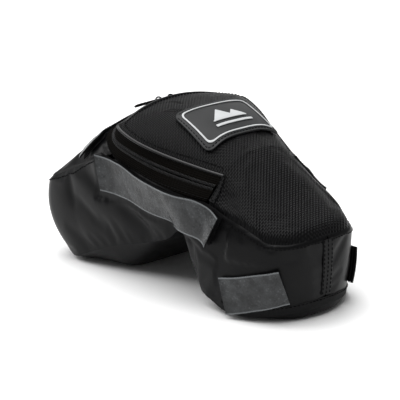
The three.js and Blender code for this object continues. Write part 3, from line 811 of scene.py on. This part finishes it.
def zip_place(side):
    """Slider frame: X outwards along the coils, Y towards the lid, Z out of the gusset."""
    a = SLIDER_REST
    outward_axis = -ZIP_INWARD * math.cos(a) - np.array([0, side * math.sin(a), 0])
    along = ZIP_INWARD * math.sin(a) - np.array([0, side * math.cos(a), 0])
    centre = gusset(np.array(0.5), 0.5) + ZIP_INWARD * ARC_RADIUS + outward_axis * ARC_RADIUS
    place = Matrix.Identity(4)
    for column, axis in enumerate((along, ZIP_AXIS, outward_axis)):
        for row in range(3):
            place[row][column] = axis[row]
    place.translation = metres(centre)
    return place


def cast_plate(name, outline, holes, low, high, rounding):
    """Flat plate from an outline in mm, with rounded edges; Z runs from low to high."""
    curve = bpy.data.curves.new(name, "CURVE")
    curve.dimensions = "2D"
    curve.fill_mode = "BOTH"
    for ring in [outline, *holes]:
        line = curve.splines.new("POLY")
        line.points.add(len(ring) - 1)
        line.points.foreach_set("co", np.column_stack([np.array(ring) * MM, np.zeros(len(ring)),
                                                       np.ones(len(ring))]).ravel())
        line.use_cyclic_u = True
    curve.extrude = ((high - low) / 2 - rounding) * MM
    curve.bevel_depth = rounding * MM
    curve.offset = -rounding * MM
    curve.bevel_resolution = 2
    piece = bpy.data.objects.new(name, curve)
    bpy.context.collection.objects.link(piece)
    graph = bpy.context.evaluated_depsgraph_get()
    mesh = bpy.data.meshes.new_from_object(piece.evaluated_get(graph), depsgraph=graph)
    bpy.data.objects.remove(piece)
    mesh.transform(Matrix.Translation((0, 0, (low + high) / 2 * MM)))
    mesh.uv_layers.new(name="Cloth")
    mesh.set_sharp_from_angle(angle=math.radians(35))
    made = bpy.data.objects.new(name, mesh)
    bpy.context.collection.objects.link(made)
    return made


def arc(centre, radius, start, end, steps=10):
    angles = np.radians(np.linspace(start, end, steps + 1))
    return [(centre[0] + radius * math.cos(k), centre[1] + radius * math.sin(k)) for k in angles]


def joined(name, parts):
    """Several meshes as one piece."""
    vertices, faces = [], []
    for part in parts:
        first = len(vertices)
        vertices += [tuple(v.co) for v in part.data.vertices]
        faces += [tuple(first + k for k in f.vertices) for f in part.data.polygons]
        bpy.data.objects.remove(part)
    mesh = bpy.data.meshes.new(name)
    mesh.from_pydata(vertices, [], faces)
    mesh.uv_layers.new(name="Cloth")
    mesh.shade_smooth()
    mesh.set_sharp_from_angle(angle=math.radians(35))
    made = bpy.data.objects.new(name, mesh)
    bpy.context.collection.objects.link(made)
    return made


def die_cast_skin(tree, place, cloth):
    """Enamel over a die-cast skin, with a slow wave 2 mm long."""
    return add_node(tree, "ShaderNodeTexNoise", {"Vector": place, "Scale": 1 / (2 * MM)}).outputs[0]


# Black enamel on die-cast zinc: a glossy coat that shows small clear highlights.
enamelled_zinc = finish("enamelled_zinc", "#0b0b0c", "#101011", 0.25, die_cast_skin, 0.02, patch=5,
                        IOR=1.5, Specular_IOR_Level=0.5)
plate_outline = (arc((3.4, 0), 3.0, -70, 70) + arc((-4.2, 2.8), 2.0, 80, 180, 6)
                 + arc((-4.2, -2.8), 2.0, 180, 280, 6))
neck_outline = [(-2.5, -0.4), (2.5, -0.4), (2.5, 0.4), (-2.5, 0.4)]
shoe_outline = arc((3.2, 1.9), 1.6, -80, 80, 6) + arc((-3.4, 1.9), 1.9, 100, 260, 6)
pull_outline = ([(4.8, -3.0), (PULL_LENGTH - 8, -PULL_WIDTH / 2)]
                + arc((PULL_LENGTH - PULL_WIDTH / 2, 0), PULL_WIDTH / 2, -90, 90, 14)
                + [(PULL_LENGTH - 8, PULL_WIDTH / 2), (4.8, 3.0)])
pull_hole = arc((PULL_LENGTH - PULL_WIDTH / 2, 0), 1.5, 0, 345, 15)
pull_slot = [(9, -0.9), (22, -0.9), (22, 0.9), (9, 0.9)]
for side_name, side in (("near", 1), ("far", -1)):
    place = zip_place(side)
    bridge_line = np.array([(-4.2 * math.cos(k), 0, 2.9 + 4.6 * math.sin(k) ** 0.8)
                            for k in np.linspace(0.02, math.pi - 0.02, 18)])
    bridge = cord_along(f"bridge_{side_name}", bridge_line + (BOX_CENTRE_X, 0, 0), 0.9, 2)
    slider = joined(f"zip_slider_cast_{side_name}", [
        cast_plate("top_plate", plate_outline, [], 1.9, 3.1, 0.35),
        cast_plate("neck", neck_outline, [], -3.1, 2.3, 0.1),
        cast_plate("shoe", shoe_outline, [], -2.9, -2.0, 0.25),
        bridge,
    ])
    pull = joined(f"zip_pull_cast_{side_name}", [
        cast_plate("grip", pull_outline, [pull_hole, pull_slot],
                   PIVOT_HEIGHT - 0.8, PIVOT_HEIGHT + 0.8, 0.3),
        cast_plate("low_arm", [(-0.6, -3.1), (5.6, -3.1), (5.6, -2.0), (-0.6, -2.0)], [], 3.7, 5.1, 0.25),
        cast_plate("high_arm", [(-0.6, 2.0), (5.6, 2.0), (5.6, 3.1), (-0.6, 3.1)], [], 3.7, 5.1, 0.25),
        cord_along("pin", np.array([(BOX_CENTRE_X, -2.7, PIVOT_HEIGHT), (BOX_CENTRE_X, 2.7, PIVOT_HEIGHT)]),
                   0.6, 2),
    ])
    for kind, piece in (("slider", slider), ("pull", pull)):
        piece.data.transform(place)
        if side < 0:
            piece.data.flip_normals()
        piece.data.materials.append(enamelled_zinc)
        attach(piece, f"{kind}_{side_name}")
        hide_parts(f"zip_{kind}_{side_name}")


# ---------------------------------------------------------------- zip end tabs
# A folded tab of nylon binding covers each front end of the zip where the fold line meets the gusset.
# It is box-stitched through both tapes.
LAYER_GAP = 0.9


TAB_WIDTH = 5


def zip_end(a, b):
    v = mix(0.06, 0.92, b)
    half_span = np.linalg.norm(nose_top(0, v, 0) - nose_top(-1, v, 0), axis=-1)
    return nose_top(-(1 - (1 - a) * TAB_WIDTH / half_span), v, 0)


def woven_binding(tree, place, cloth):
    """Grosgrain ribs of binding tape, 1.2 mm apart."""
    return ripple(tree, cloth, 1.2, None)


# Woven nylon grosgrain: fine cross ribs, dull, a little lighter on the worn fold.
nylon_binding = finish("nylon_grosgrain_binding", "#0c0c0d", "#131314", 0.7, woven_binding, 0.12,
                       IOR=1.53, Specular_IOR_Level=0.15)
for side in ("near", "far"):
    piece = panel(f"zip_end_fold_{side}", zip_end, 12, 30, LAYER_GAP + 0.8, mirror=side == "far")
    thicken(piece, 0.8)
    piece.data.materials.append(nylon_binding)
    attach(piece, "bag")
    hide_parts(f"zip_end_tab_{side}")


# ---------------------------------------------------------------- badge
# A soft PVC patch is moulded with a pale raised border and a plain mountain over one bar.
# It is stitched to the lid through a sunk channel near its edge.
BADGE_HALF_WIDTH = 49
BADGE_HALF_LENGTH = 28
BADGE_CENTRE_X = 30.5
BADGE_CORNER = 9
BADGE_THICK = 2
PRINT_THICK = 0.7
GAP = 0.35
BADGE_TOP = LAYER_GAP + BADGE_THICK
PRINT_TOP = BADGE_TOP + GAP + PRINT_THICK


def badge_face(a, b):
    y = mix(-BADGE_HALF_WIDTH, BADGE_HALF_WIDTH, b)
    past = np.maximum(0, np.abs(y) - (BADGE_HALF_WIDTH - BADGE_CORNER))
    half = BADGE_HALF_LENGTH - BADGE_CORNER + np.sqrt(np.maximum(0, BADGE_CORNER**2 - past**2))
    return lid_above(BADGE_CENTRE_X + mix(-1, 1, a) * half, y)


def round_off(piece, radius, steps=3):
    """Round the sharp edges of a moulded piece."""
    bevel = piece.modifiers.new("Rounded", "BEVEL")
    bevel.width = radius * MM
    bevel.segments = steps
    bevel.limit_method = "ANGLE"
    bevel.angle_limit = math.radians(50)
    keep_modifiers(piece)
    piece.data.set_sharp_from_angle(angle=math.radians(60))
    return piece


def moulded_matt(tree, place, cloth):
    """Spark-eroded mould texture, 0.9 mm grain."""
    return add_node(tree, "ShaderNodeTexNoise", {"Vector": place, "Scale": 1 / (0.9 * MM)}).outputs[0]


# Moulded soft PVC: matt from the spark-eroded mould, the pale parts pigmented right through.
moulded_pvc = finish("moulded_soft_pvc", "#1a1b1c", "#202122", 0.55, moulded_matt, 0.04, IOR=1.52,
                     Specular_IOR_Level=0.25)
pigmented_pvc = finish("pigmented_soft_pvc", "#c4c6c7", "#b2b4b5", 0.5, moulded_matt, 0.04, IOR=1.52)


def on_badge(name, surface, columns, rows, thick, top, material, node):
    """Moulded layer of the badge."""
    made = panel(name, surface, columns, rows, top)
    thicken(made, thick, 30)
    round_off(made, thick * 0.3)
    made.data.materials.append(material)
    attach(made, "lid")
    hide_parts(node)
    return made


def sunk_badge(a, b):
    """Top of the patch, with the stitching channel near its edge."""
    point = badge_face(a, b)
    x, y = np.abs(point[..., 0] - BADGE_CENTRE_X), np.abs(point[..., 1])
    edge = np.minimum(BADGE_HALF_LENGTH - x, BADGE_HALF_WIDTH - y)
    return BADGE_TOP - 0.5 * np.exp(-((edge - 2.3) / 0.55) ** 2)


on_badge("badge_patch", badge_face, 70, 110, BADGE_THICK, sunk_badge, moulded_pvc, "badge_base")
RING_X, RING_Y, RING_CORNER, RING_WIDTH = 23.5, 43.5, 6, 1.6
ring_line = np.array(
    arc((RING_X - RING_CORNER, RING_Y - RING_CORNER), RING_CORNER, 0, 90, 12)
    + arc((-RING_X + RING_CORNER, RING_Y - RING_CORNER), RING_CORNER, 90, 180, 12)
    + arc((-RING_X + RING_CORNER, -RING_Y + RING_CORNER), RING_CORNER, 180, 270, 12)
    + arc((RING_X - RING_CORNER, -RING_Y + RING_CORNER), RING_CORNER, 270, 360, 12)
    + [(RING_X, RING_Y - RING_CORNER)])
ring_length = distances(ring_line)


def ring(a, b):
    place = mix(0.002, 0.998, a) * ring_length[-1]
    x, y = (np.interp(place, ring_length, ring_line[:, k]) for k in (0, 1))
    return lid_above(BADGE_CENTRE_X + x * (1 - b * RING_WIDTH / RING_X), y * (1 - b * RING_WIDTH / RING_Y))


def peak(a, b):
    y = mix(-22, 22, b)
    height = np.maximum.reduce([17 - 1.05 * np.abs(y + 6), 12 - 0.95 * np.abs(y - 11), 1.5 + 0 * y])
    return lid_above(BADGE_CENTRE_X + mix(5 - height, 5, a), y)


def bar(a, b):
    return lid_above(BADGE_CENTRE_X + mix(9.5, 12.5, a), mix(-24, 24, b))


on_badge("badge_ring", ring, 200, 2, PRINT_THICK, PRINT_TOP, pigmented_pvc, "badge_border")
on_badge("badge_mountain", peak, 4, 60, PRINT_THICK, PRINT_TOP, pigmented_pvc, "badge_peak")
on_badge("badge_line", bar, 2, 24, PRINT_THICK, PRINT_TOP, pigmented_pvc, "badge_bar")


# ---------------------------------------------------------------- hem and seam covers
# Grosgrain binding is folded round the nose lobe's bottom edge, and a vinyl strip covers each centre seam.
# They are sewn flat on the walls.
HEM_WIDTH = 10
TRIM_THICK = 0.7


def across_seam(at_nose, reach, v_low, v_high):
    """Strip that runs round the wall across a centre seam, half on each side."""
    def at(a, b):
        signed = mix(-reach, reach, a) * (1 if at_nose else -1)
        t = np.abs(signed) if at_nose else 1 - np.abs(signed)
        high = v_high(t) if callable(v_high) else v_high
        return mirror_where(wall(t, mix(v_low, high, b)), signed > 0)

    return at


hem_face = across_seam(True, where_x(base_plan, 104), 0, lambda t: HEM_WIDTH / wall_height(t))
nose_cover = across_seam(True, 0.014, 0.17, 0.96)
back_cover = across_seam(False, 0.014, 0.04, 0.96)
for name, surface, columns, rows, material, slot_name, node in (
        ("hem_fold", hem_face, 150, 12, nylon_binding, "binding", "hem_binding"),
        ("nose_seam_cover", nose_cover, 14, 50, calendered_vinyl, "vinyl", "nose_seam_strip"),
        ("back_seam_cover", back_cover, 14, 50, calendered_vinyl, "vinyl", "back_seam_strip")):
    piece = panel(name, surface, columns, rows,
                  lambda a, b: (GAP + TRIM_THICK
                                + 0.25 * np.sin(a * 60) * np.sin(b * 5) * (name == "hem_fold")))
    thicken(piece, TRIM_THICK)
    round_off(piece, 0.25, 2)
    piece.data.materials.append(material)
    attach(piece, "bag")
    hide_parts(node)
    declare_cloth(surface)


# ---------------------------------------------------------------- topstitching
# Bonded polyester thread runs beside every seam in stitches 3.2 mm long.
# Each stitch is a short bead that dips into the cloth at both ends.
STITCH = 3.2
STITCH_GAP = 1.0
THREAD = 0.6
BAG_MIDDLE = (0, 0, 60)
ABOVE_CLOTH = 6
TOPSTITCH_LIFT = 0.3


def stitches(name, line, lift, body, material, cloth=None):
    """Row of stitches along a line of (point, outward normal) pairs, laid on the cloth if one is named."""
    points, normals = line
    if cloth:
        normals = normals * np.sign(np.sum(normals * (points - BAG_MIDDLE), axis=1, keepdims=True))
        above = metres(points + ABOVE_CLOTH * normals)
        found = [cloth.closest_point_on_mesh(Vector(place), distance=0.03) for place in above]
        points = np.array([(hit[1] - Vector((-BOX_CENTRE_X * MM, 0, 0))) / MM for hit in found])
    running = distances(points)
    count = int(running[-1] // (STITCH + STITCH_GAP))
    profile = [(0, 0.2), (0.12, 0.75), (0.5, 1.0), (0.88, 0.75), (1, 0.2)]
    vertices, faces = [], []
    for k in range(count):
        start = (k + 0.5) * running[-1] / count - STITCH / 2
        rings = []
        for share, fat in profile:
            place = start + share * STITCH
            centre = np.array([np.interp(place, running, points[:, i]) for i in range(3)])
            normal = np.array([np.interp(place, running, normals[:, i]) for i in range(3)])
            ahead = np.array([np.interp(place + 0.3, running, points[:, i]) for i in range(3)]) - centre
            side_axis = np.cross(normal, ahead)
            side_axis /= np.linalg.norm(side_axis) + 1e-9
            centre = centre + normal * (lift + THREAD * (fat - 0.7))
            rings.append([centre + THREAD * fat * (math.cos(w) * side_axis + math.sin(w) * normal)
                          for w in np.linspace(0, 2 * math.pi, 7)[:-1]])
        first = len(vertices)
        vertices += [p for ring_points in rings for p in ring_points]
        for i in range(len(rings) - 1):
            for j in range(6):
                a, b = first + i * 6 + j, first + i * 6 + (j + 1) % 6
                faces.append((a, b, b + 6, a + 6))
        faces.append(tuple(first + j for j in range(5, -1, -1)))
        faces.append(tuple(first + (len(rings) - 1) * 6 + j for j in range(6)))
    mesh = bpy.data.meshes.new(name)
    mesh.from_pydata(metres(vertices).tolist(), [], faces)
    mesh.uv_layers.new(name="Cloth")
    mesh.shade_smooth()
    made = bpy.data.objects.new(name, mesh)
    bpy.context.collection.objects.link(made)
    made.data.materials.append(material)
    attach(made, body)
    return made


def on_surface(surface, a, b):
    """Line on a surface with its normals."""
    a, b = np.broadcast_arrays(np.asarray(a, float), np.asarray(b, float))
    return surface(a, b), outward(surface, a, b)


def mirrored(line):
    return tuple(part * (1, -1, 1) for part in line)


def chained(*lines):
    return tuple(np.concatenate([line[k] for line in lines]) for k in (0, 1))


def twisted_thread(tree, place, cloth):
    """Twist of the plies, drawn 0.6 mm long."""
    return add_node(tree, "ShaderNodeTexNoise", {"Vector": place, "Scale": 1 / (0.6 * MM)}).outputs[0]


# Bonded polyester thread: black and matt, so it reads as dark dashes on the satin vinyl.
bonded_thread = finish("bonded_polyester_thread", "#050506", "#0a0a0b", 0.75, twisted_thread, 0.05, IOR=1.5,
                       Specular_IOR_Level=0.08)

along = np.linspace(0, 1, 160)
LID_STITCH_INSET = 5.5
lid_inside = lid_patch(LID_STITCH_INSET, 0, 1)
lid_line = chained(on_surface(lid_inside, 0.97 - 0.97 * along, 0), on_surface(lid_inside, 0, along),
                   on_surface(lid_inside, 0.97 * along, 1))
stitches("lid_topstitch", lid_line, TOPSTITCH_LIFT, "lid", bonded_thread, top_cloth)
BESIDE_SEAM = 4.5


def beside_top_seam(t, below):
    """Line on the near wall that stays a distance below the top seam."""
    return on_surface(lambda a, b: wall(a, 1 - b / wall_height(a)), t, below)


nose_half = beside_top_seam(np.linspace(NOSE_SEAM_END, 0.004, 120), BESIDE_SEAM)
lobe_half = beside_top_seam(np.linspace(0.995, LOBE_SEAM_START + 0.03, 120), BESIDE_SEAM)
for side, wall_cloth in walls.items():
    for name, half in (("nose", nose_half), ("lobe", lobe_half)):
        stitches(f"{name}_topstitch_{side}", half if side == "near" else mirrored(half), TOPSTITCH_LIFT,
                 "bag", bonded_thread, wall_cloth)
for k, share in enumerate((0.1, 0.5, 0.9)):
    stitches(f"nose_cover_stitch_{k + 1}", on_surface(nose_cover, share, along), GAP + TRIM_THICK, "bag",
             bonded_thread)
for k, share in enumerate((0.12, 0.88)):
    stitches(f"back_cover_stitch_{k + 1}", on_surface(back_cover, share, along), GAP + TRIM_THICK, "bag",
             bonded_thread)
stitches("hem_stitch", on_surface(hem_face, along, 0.82), GAP + TRIM_THICK, "bag", bonded_thread)
for name, (body, band) in tape_bands.items():
    stitches(f"zip_tape_stitch_{name}", on_surface(band, along, 0.14 if name == "upper" else 0.86),
             0.6, body, bonded_thread)
for side in ("near", "far"):
    box = chained(on_surface(zip_end, 0.15, mix(0.05, 0.95, along)),
                  on_surface(zip_end, mix(0.15, 0.85, along), 0.95),
                  on_surface(zip_end, 0.85, mix(0.95, 0.05, along)),
                  on_surface(zip_end, mix(0.85, 0.15, along), 0.05))
    stitches(f"zip_end_stitch_{side}", box if side == "near" else mirrored(box), LAYER_GAP + 0.8, "bag",
             bonded_thread)
badge_edge = 0.045
badge_loop = chained(on_surface(badge_face, badge_edge, mix(0.06, 0.94, along)),
                     on_surface(badge_face, mix(badge_edge, 1 - badge_edge, along), 0.977),
                     on_surface(badge_face, 1 - badge_edge, mix(0.94, 0.06, along)),
                     on_surface(badge_face, mix(1 - badge_edge, badge_edge, along), 0.023))
stitches("badge_stitch", badge_loop, BADGE_TOP - 0.35, "lid", bonded_thread)


# ---------------------------------------------------------------- foam and lining
# Closed-cell foam pads the walls, nose and lid, and coated nylon is quilted to it inside the bag.
# A mesh pocket hangs under the lid.
FOAM = 4.5
LINING = 0.8
PAD_TOP = WALL_THICK + 1.7


def quilt(depth):
    """Sewn channels 24 mm apart in a lining, with puffs between them."""
    return lambda a, b: -depth + 0.9 * (1 - np.abs(np.sin(a * math.pi * 5)) ** 0.5) * 1.0


def plain_weave(tree, place, cloth):
    """Plain-woven nylon, threads drawn 1 mm apart."""
    return ripple(tree, cloth, 1.0, 1.0)


# Coated woven nylon: dull charcoal with a faint sheen.
coated_nylon = finish("coated_woven_nylon", "#2c2c2f", "#343437", 0.72, plain_weave, 0.1, IOR=1.53,
                      Sheen_Weight=0.15)
wall_pad = wall_patch(0.975, 0.03, 16, 9)
lid_pad = lid_patch(9, 0, 0.94)


def nose_pad(a, b):
    return nose_top((b * 2 - 1) * 0.8, mix(0.07, 1, a), 14)


pads = [("wall_pad_near", wall_pad, False, ["wall_foam_near", "wall_lining_near"], "bag"),
        ("wall_pad_far", wall_pad, True, ["wall_foam_far", "wall_lining_far"], "bag"),
        ("nose_pad", nose_pad, False, ["nose_foam", "nose_lining"], "bag"),
        ("lid_pad", lid_pad, False, ["lid_foam", "lid_lining"], "lid")]
for name, surface, mirror, nodes, body in pads:
    depth = PAD_TOP + (1.6 if name.startswith("wall") else 0)
    piece = panel(name, surface, 90, 30, quilt(depth), mirror=mirror)
    thicken(piece, FOAM + LINING)
    round_off(piece, 1.2, 3)
    piece.data.materials.append(coated_nylon)
    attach(piece, body)
    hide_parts(*nodes)


def raschel_knit(tree, place, cloth):
    """Knitted filament, 0.5 mm relief grain."""
    return add_node(tree, "ShaderNodeTexNoise", {"Vector": place, "Scale": 1 / (0.5 * MM)}).outputs[0]


# Warp-knitted nylon mesh: open cells 3 mm wide between matt black bars.
warp_knit_mesh = finish("warp_knit_nylon_mesh", "#171718", "#1f1f20", 0.75, raschel_knit, 0.05, IOR=1.53)
pocket_face = lid_patch(22, 0.2, 0.75)
pocket = panel("lid_mesh_net", pocket_face, 24, 34, -(PAD_TOP + FOAM + LINING + 2.0))
net = pocket.modifiers.new("Net", "WIREFRAME")
net.thickness = 0.7 * MM
net.use_even_offset = False
keep_modifiers(pocket)
pocket.data.materials.append(warp_knit_mesh)
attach(pocket, "lid")
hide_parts("lid_mesh_pocket")
declare_cloth(pocket_face)


# ---------------------------------------------------------------- hook-and-loop strips
# 38 mm loop tape is sewn to the walls and the back lobe, and hook tape with an adhesive back presses on it.
# A clear film still covers the adhesive, bubbled and lifted at its ends.
TAPE_WIDTH = 38
TAPE_LAYER = 1.0
FILM = 0.5
BELOW_SEAM = 1.5


def loop_pile(tree, place, cloth):
    """Napped loops, 0.8 mm apart."""
    return add_node(tree, "ShaderNodeTexNoise", {"Vector": place, "Scale": 1 / (0.8 * MM)}).outputs[0]


def hook_rows(tree, place, cloth):
    """Woven hooks in rows 1.4 mm apart."""
    return ripple(tree, cloth, 1.4, 1.4)


def trapped_bubbles(tree, place, cloth):
    """Air bubbles under the film, 3 to 7 mm across."""
    large = add_node(tree, "ShaderNodeTexVoronoi", {"Vector": place, "Scale": 1 / (7 * MM)},
                     feature="SMOOTH_F1")
    small = add_node(tree, "ShaderNodeTexVoronoi", {"Vector": place, "Scale": 1 / (2.6 * MM)},
                     feature="SMOOTH_F1")
    return add_node(tree, "ShaderNodeMath", {0: large.outputs["Distance"], 1: small.outputs["Distance"]},
                    operation="ADD").outputs[0]


def film_mottle_and_painted_reflection(tree, place, cloth):
    """Painted reflection: pale where the film's long edges are free and over each bubble, where the lifted
    clear film would reflect light; dark where it lies on the tape.
    """
    share = add_node(tree, "ShaderNodeUVMap", uv_map="Share").outputs["UV"]
    across = add_node(tree, "ShaderNodeSeparateXYZ", {0: share}).outputs["Y"]
    off_middle = add_node(tree, "ShaderNodeMath", {0: across, 1: 0.5}, operation="SUBTRACT")
    distance = add_node(tree, "ShaderNodeMath", {0: off_middle.outputs[0]}, operation="ABSOLUTE")
    # Painted reflection along the film's free long edges.
    edge = add_node(tree, "ShaderNodeMapRange", {"Value": distance.outputs[0], "From Min": 0.45,
                                                 "From Max": 0.475})
    # Painted reflection over each bubble.
    dots = add_node(tree, "ShaderNodeTexVoronoi", {"Vector": place, "Scale": 1 / (3.4 * MM)})
    bubble_reflection = add_node(tree, "ShaderNodeMapRange", {"Value": dots.outputs["Distance"], "From Min": 0.30,
                                                   "From Max": 0.10, "To Max": 1.6})
    haze = add_node(tree, "ShaderNodeTexNoise", {"Vector": place, "Scale": 1 / (11 * MM), "Detail": 4.0})
    patch = add_node(tree, "ShaderNodeMapRange", {"Value": haze.outputs[0], "From Min": 0.38,
                                                  "From Max": 0.7, "To Min": 0.06, "To Max": 0.27})
    mottle = add_node(tree, "ShaderNodeMath", {0: bubble_reflection.outputs[0], 1: patch.outputs[0]},
                      operation="MULTIPLY")
    base_tone = add_node(tree, "ShaderNodeMath", {0: mottle.outputs[0], 1: patch.outputs[0]},
                         operation="ADD")
    return add_node(tree, "ShaderNodeMath", {0: base_tone.outputs[0], 1: edge.outputs[0]},
                    operation="MAXIMUM").outputs[0]


# Napped nylon loops and woven nylon hooks: both drink the light, the hooks in rows.
napped_nylon = finish("napped_nylon_loop", "#0a0a0b", "#101011", 0.95, loop_pile, 0.25,
                      Specular_IOR_Level=0.1)
woven_hooks = finish("woven_nylon_hook", "#080809", "#0e0e0f", 0.85, hook_rows, 0.25,
                     Specular_IOR_Level=0.1)
# Siliconed polyethylene film: grey over the black tape, pale where it stands off in bubbles; the pale colour
# is painted reflection.
siliconed_film = finish("siliconed_release_film", "#101112", "#66696b", 0.26, trapped_bubbles, 0.25,
                        patch=6, shade=film_mottle_and_painted_reflection, IOR=1.5, Specular_IOR_Level=0.3)


def side_strip_at(t_back, t_nose):
    def at(a, b):
        t = mix(t_back, t_nose, a) + 0.035 * (1 - b) * a**3
        rise = 6 * np.maximum(0, 1 - a / 0.3) ** 2
        from_seam = mix(BELOW_SEAM + TAPE_WIDTH, BELOW_SEAM, b) - rise
        return wall(t, 1 - from_seam / wall_height(t))

    return at


def nose_strip_at(t_back, t_nose):
    def at(a, b):
        t = mix(t_back, t_nose, a) - 0.022 * (1 - b)
        return wall(t, mix(0.0, 0.2, a) + 0.92 * b * TAPE_WIDTH / wall_height(t))

    return at


def rear_strip(a, b):
    shrink = 0.8 / LOBE_REACH
    place = 0.5 + (a - 0.5) * shrink
    length = np.linalg.norm(lobe_top(place, 1) - lobe_top(place, 0), axis=-1)
    start = BELOW_SEAM + 2
    return lobe_top(place, mix(start, start + TAPE_WIDTH, b) / length)


def layer(name, surface, base_lift, flare, wobble, columns, rows, mirror):
    """One tape or film: flared at both ends, with a wavy hang of its own."""
    def lift(a, b):
        ends = flare * (np.maximum(0, np.abs(a - 0.5) - 0.38) / 0.12) ** 2
        waves = wobble * (0.5 + 0.5 * np.sin(a * 19 + 2.5 * b) * np.sin(b * 3 + a * 7))
        return base_lift + ends + waves

    return panel(name, surface, columns, rows, lift, mirror=mirror)


side_strip = side_strip_at(where_x(top_plan, -62), where_x(top_plan, 100))
nose_strip = nose_strip_at(where_x(base_plan, 106), where_x(base_plan, 158))
strips = [("side_near", side_strip, LAYER_GAP + 0.6, 7, 110, False),
          ("side_far", side_strip, LAYER_GAP + 0.6, 3, 110, True),
          ("rear", rear_strip, LAYER_GAP, 4, 110, False),
          ("nose_near", nose_strip, GAP + LAYER_GAP + 0.7, 1.5, 50, False),
          ("nose_far", nose_strip, GAP + LAYER_GAP + 0.7, 1.5, 50, True)]
for name, surface, clear, flare, columns, mirror in strips:
    hook_lift = clear + TAPE_LAYER + GAP
    film_lift = hook_lift + TAPE_LAYER + GAP
    layers = [("loop", "bag", clear + TAPE_LAYER, 0, 0, TAPE_LAYER, napped_nylon, "loop_tape"),
              ("hook", f"strip_{name}", hook_lift + TAPE_LAYER, flare, 0, TAPE_LAYER, woven_hooks,
               "hook_tape"),
              ("liner", f"strip_{name}", film_lift + FILM, flare, 0.5, FILM, siliconed_film,
               "release_liner")]
    for kind, body, lift, lifted_end, wobble, thick, material, slot_name in layers:
        piece = layer(f"{kind}_tape_{name}", surface, lift, lifted_end, wobble, columns, 28, mirror)
        thicken(piece, thick)
        piece.data.materials.append(material)
        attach(piece, body)
        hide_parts(f"{kind}_{name}")
        declare_cloth(surface)


# ---------------------------------------------------------------- floor, light and camera
# The bag stands on a pale paper sweep under large soft lamps.
FLOOR_SIZE = 6
floor_mesh = bpy.data.meshes.new("paper_sweep")
floor_corners = ((-1, -1), (1, -1), (1, 1), (-1, 1))
floor_mesh.from_pydata([(x * FLOOR_SIZE, y * FLOOR_SIZE, 0) for x, y in floor_corners], [], [(0, 1, 2, 3)])
floor = bpy.data.objects.new("paper_sweep", floor_mesh)
bpy.context.collection.objects.link(floor)
paper = bpy.data.materials.new("matt_paper")
paper.use_nodes = True
paper.node_tree.nodes["Principled BSDF"].inputs["Base Color"].default_value = linear("#fcfcfc")
paper.node_tree.nodes["Principled BSDF"].inputs["Roughness"].default_value = 0.9
floor.data.materials.append(paper)

scene = bpy.context.scene
scene.view_settings.view_transform = "Standard"
studio = bpy.data.worlds.new("studio")
studio.use_nodes = True
studio.node_tree.nodes["Background"].inputs["Color"].default_value = (1, 1, 1, 1)
studio.node_tree.nodes["Background"].inputs["Strength"].default_value = 0.2
scene.world = studio


def lamp(name, place, aim, size, watts):
    """Square soft box that faces the aim."""
    light = bpy.data.lights.new(name, "AREA")
    light.size = size
    light.energy = watts
    made = bpy.data.objects.new(name, light)
    made.location = place
    made.rotation_euler = (Vector(aim) - Vector(place)).to_track_quat("-Z", "Y").to_euler()
    bpy.context.collection.objects.link(made)
    return made


lamp("top_box", (-0.3, 0.2, 1.5), (0, 0, 0), 1.0, 8)
lamp("left_box", (-1.5, -1.1, 0.8), (-0.05, 0, 0.08), 0.7, 9)
lamp("back_box", (-0.9, 1.4, 0.9), (0, 0, 0.1), 0.8, 4)
sky = bpy.data.lights.new("ceiling_bounce", "SUN")
sky.energy = 3.1
sky.angle = math.radians(70)
ceiling = bpy.data.objects.new("ceiling_bounce", sky)
ceiling.rotation_euler = (math.radians(8), math.radians(-10), 0)
bpy.context.collection.objects.link(ceiling)

view_camera = bpy.data.cameras.new("view_camera")
view_camera.lens = 152.8
view_camera.sensor_width = 36
view_camera.shift_y = 0.0125
view_camera.clip_end = 20
camera = bpy.data.objects.new("view_camera", view_camera)
camera.location = (1.2622 - BOX_CENTRE_X * MM, -1.1455, 0.6273)
aim_point = Vector((-0.010 - BOX_CENTRE_X * MM, 0, 0.0711))
camera.rotation_euler = (aim_point - camera.location).to_track_quat("-Z", "Y").to_euler()
bpy.context.collection.objects.link(camera)
scene.camera = camera
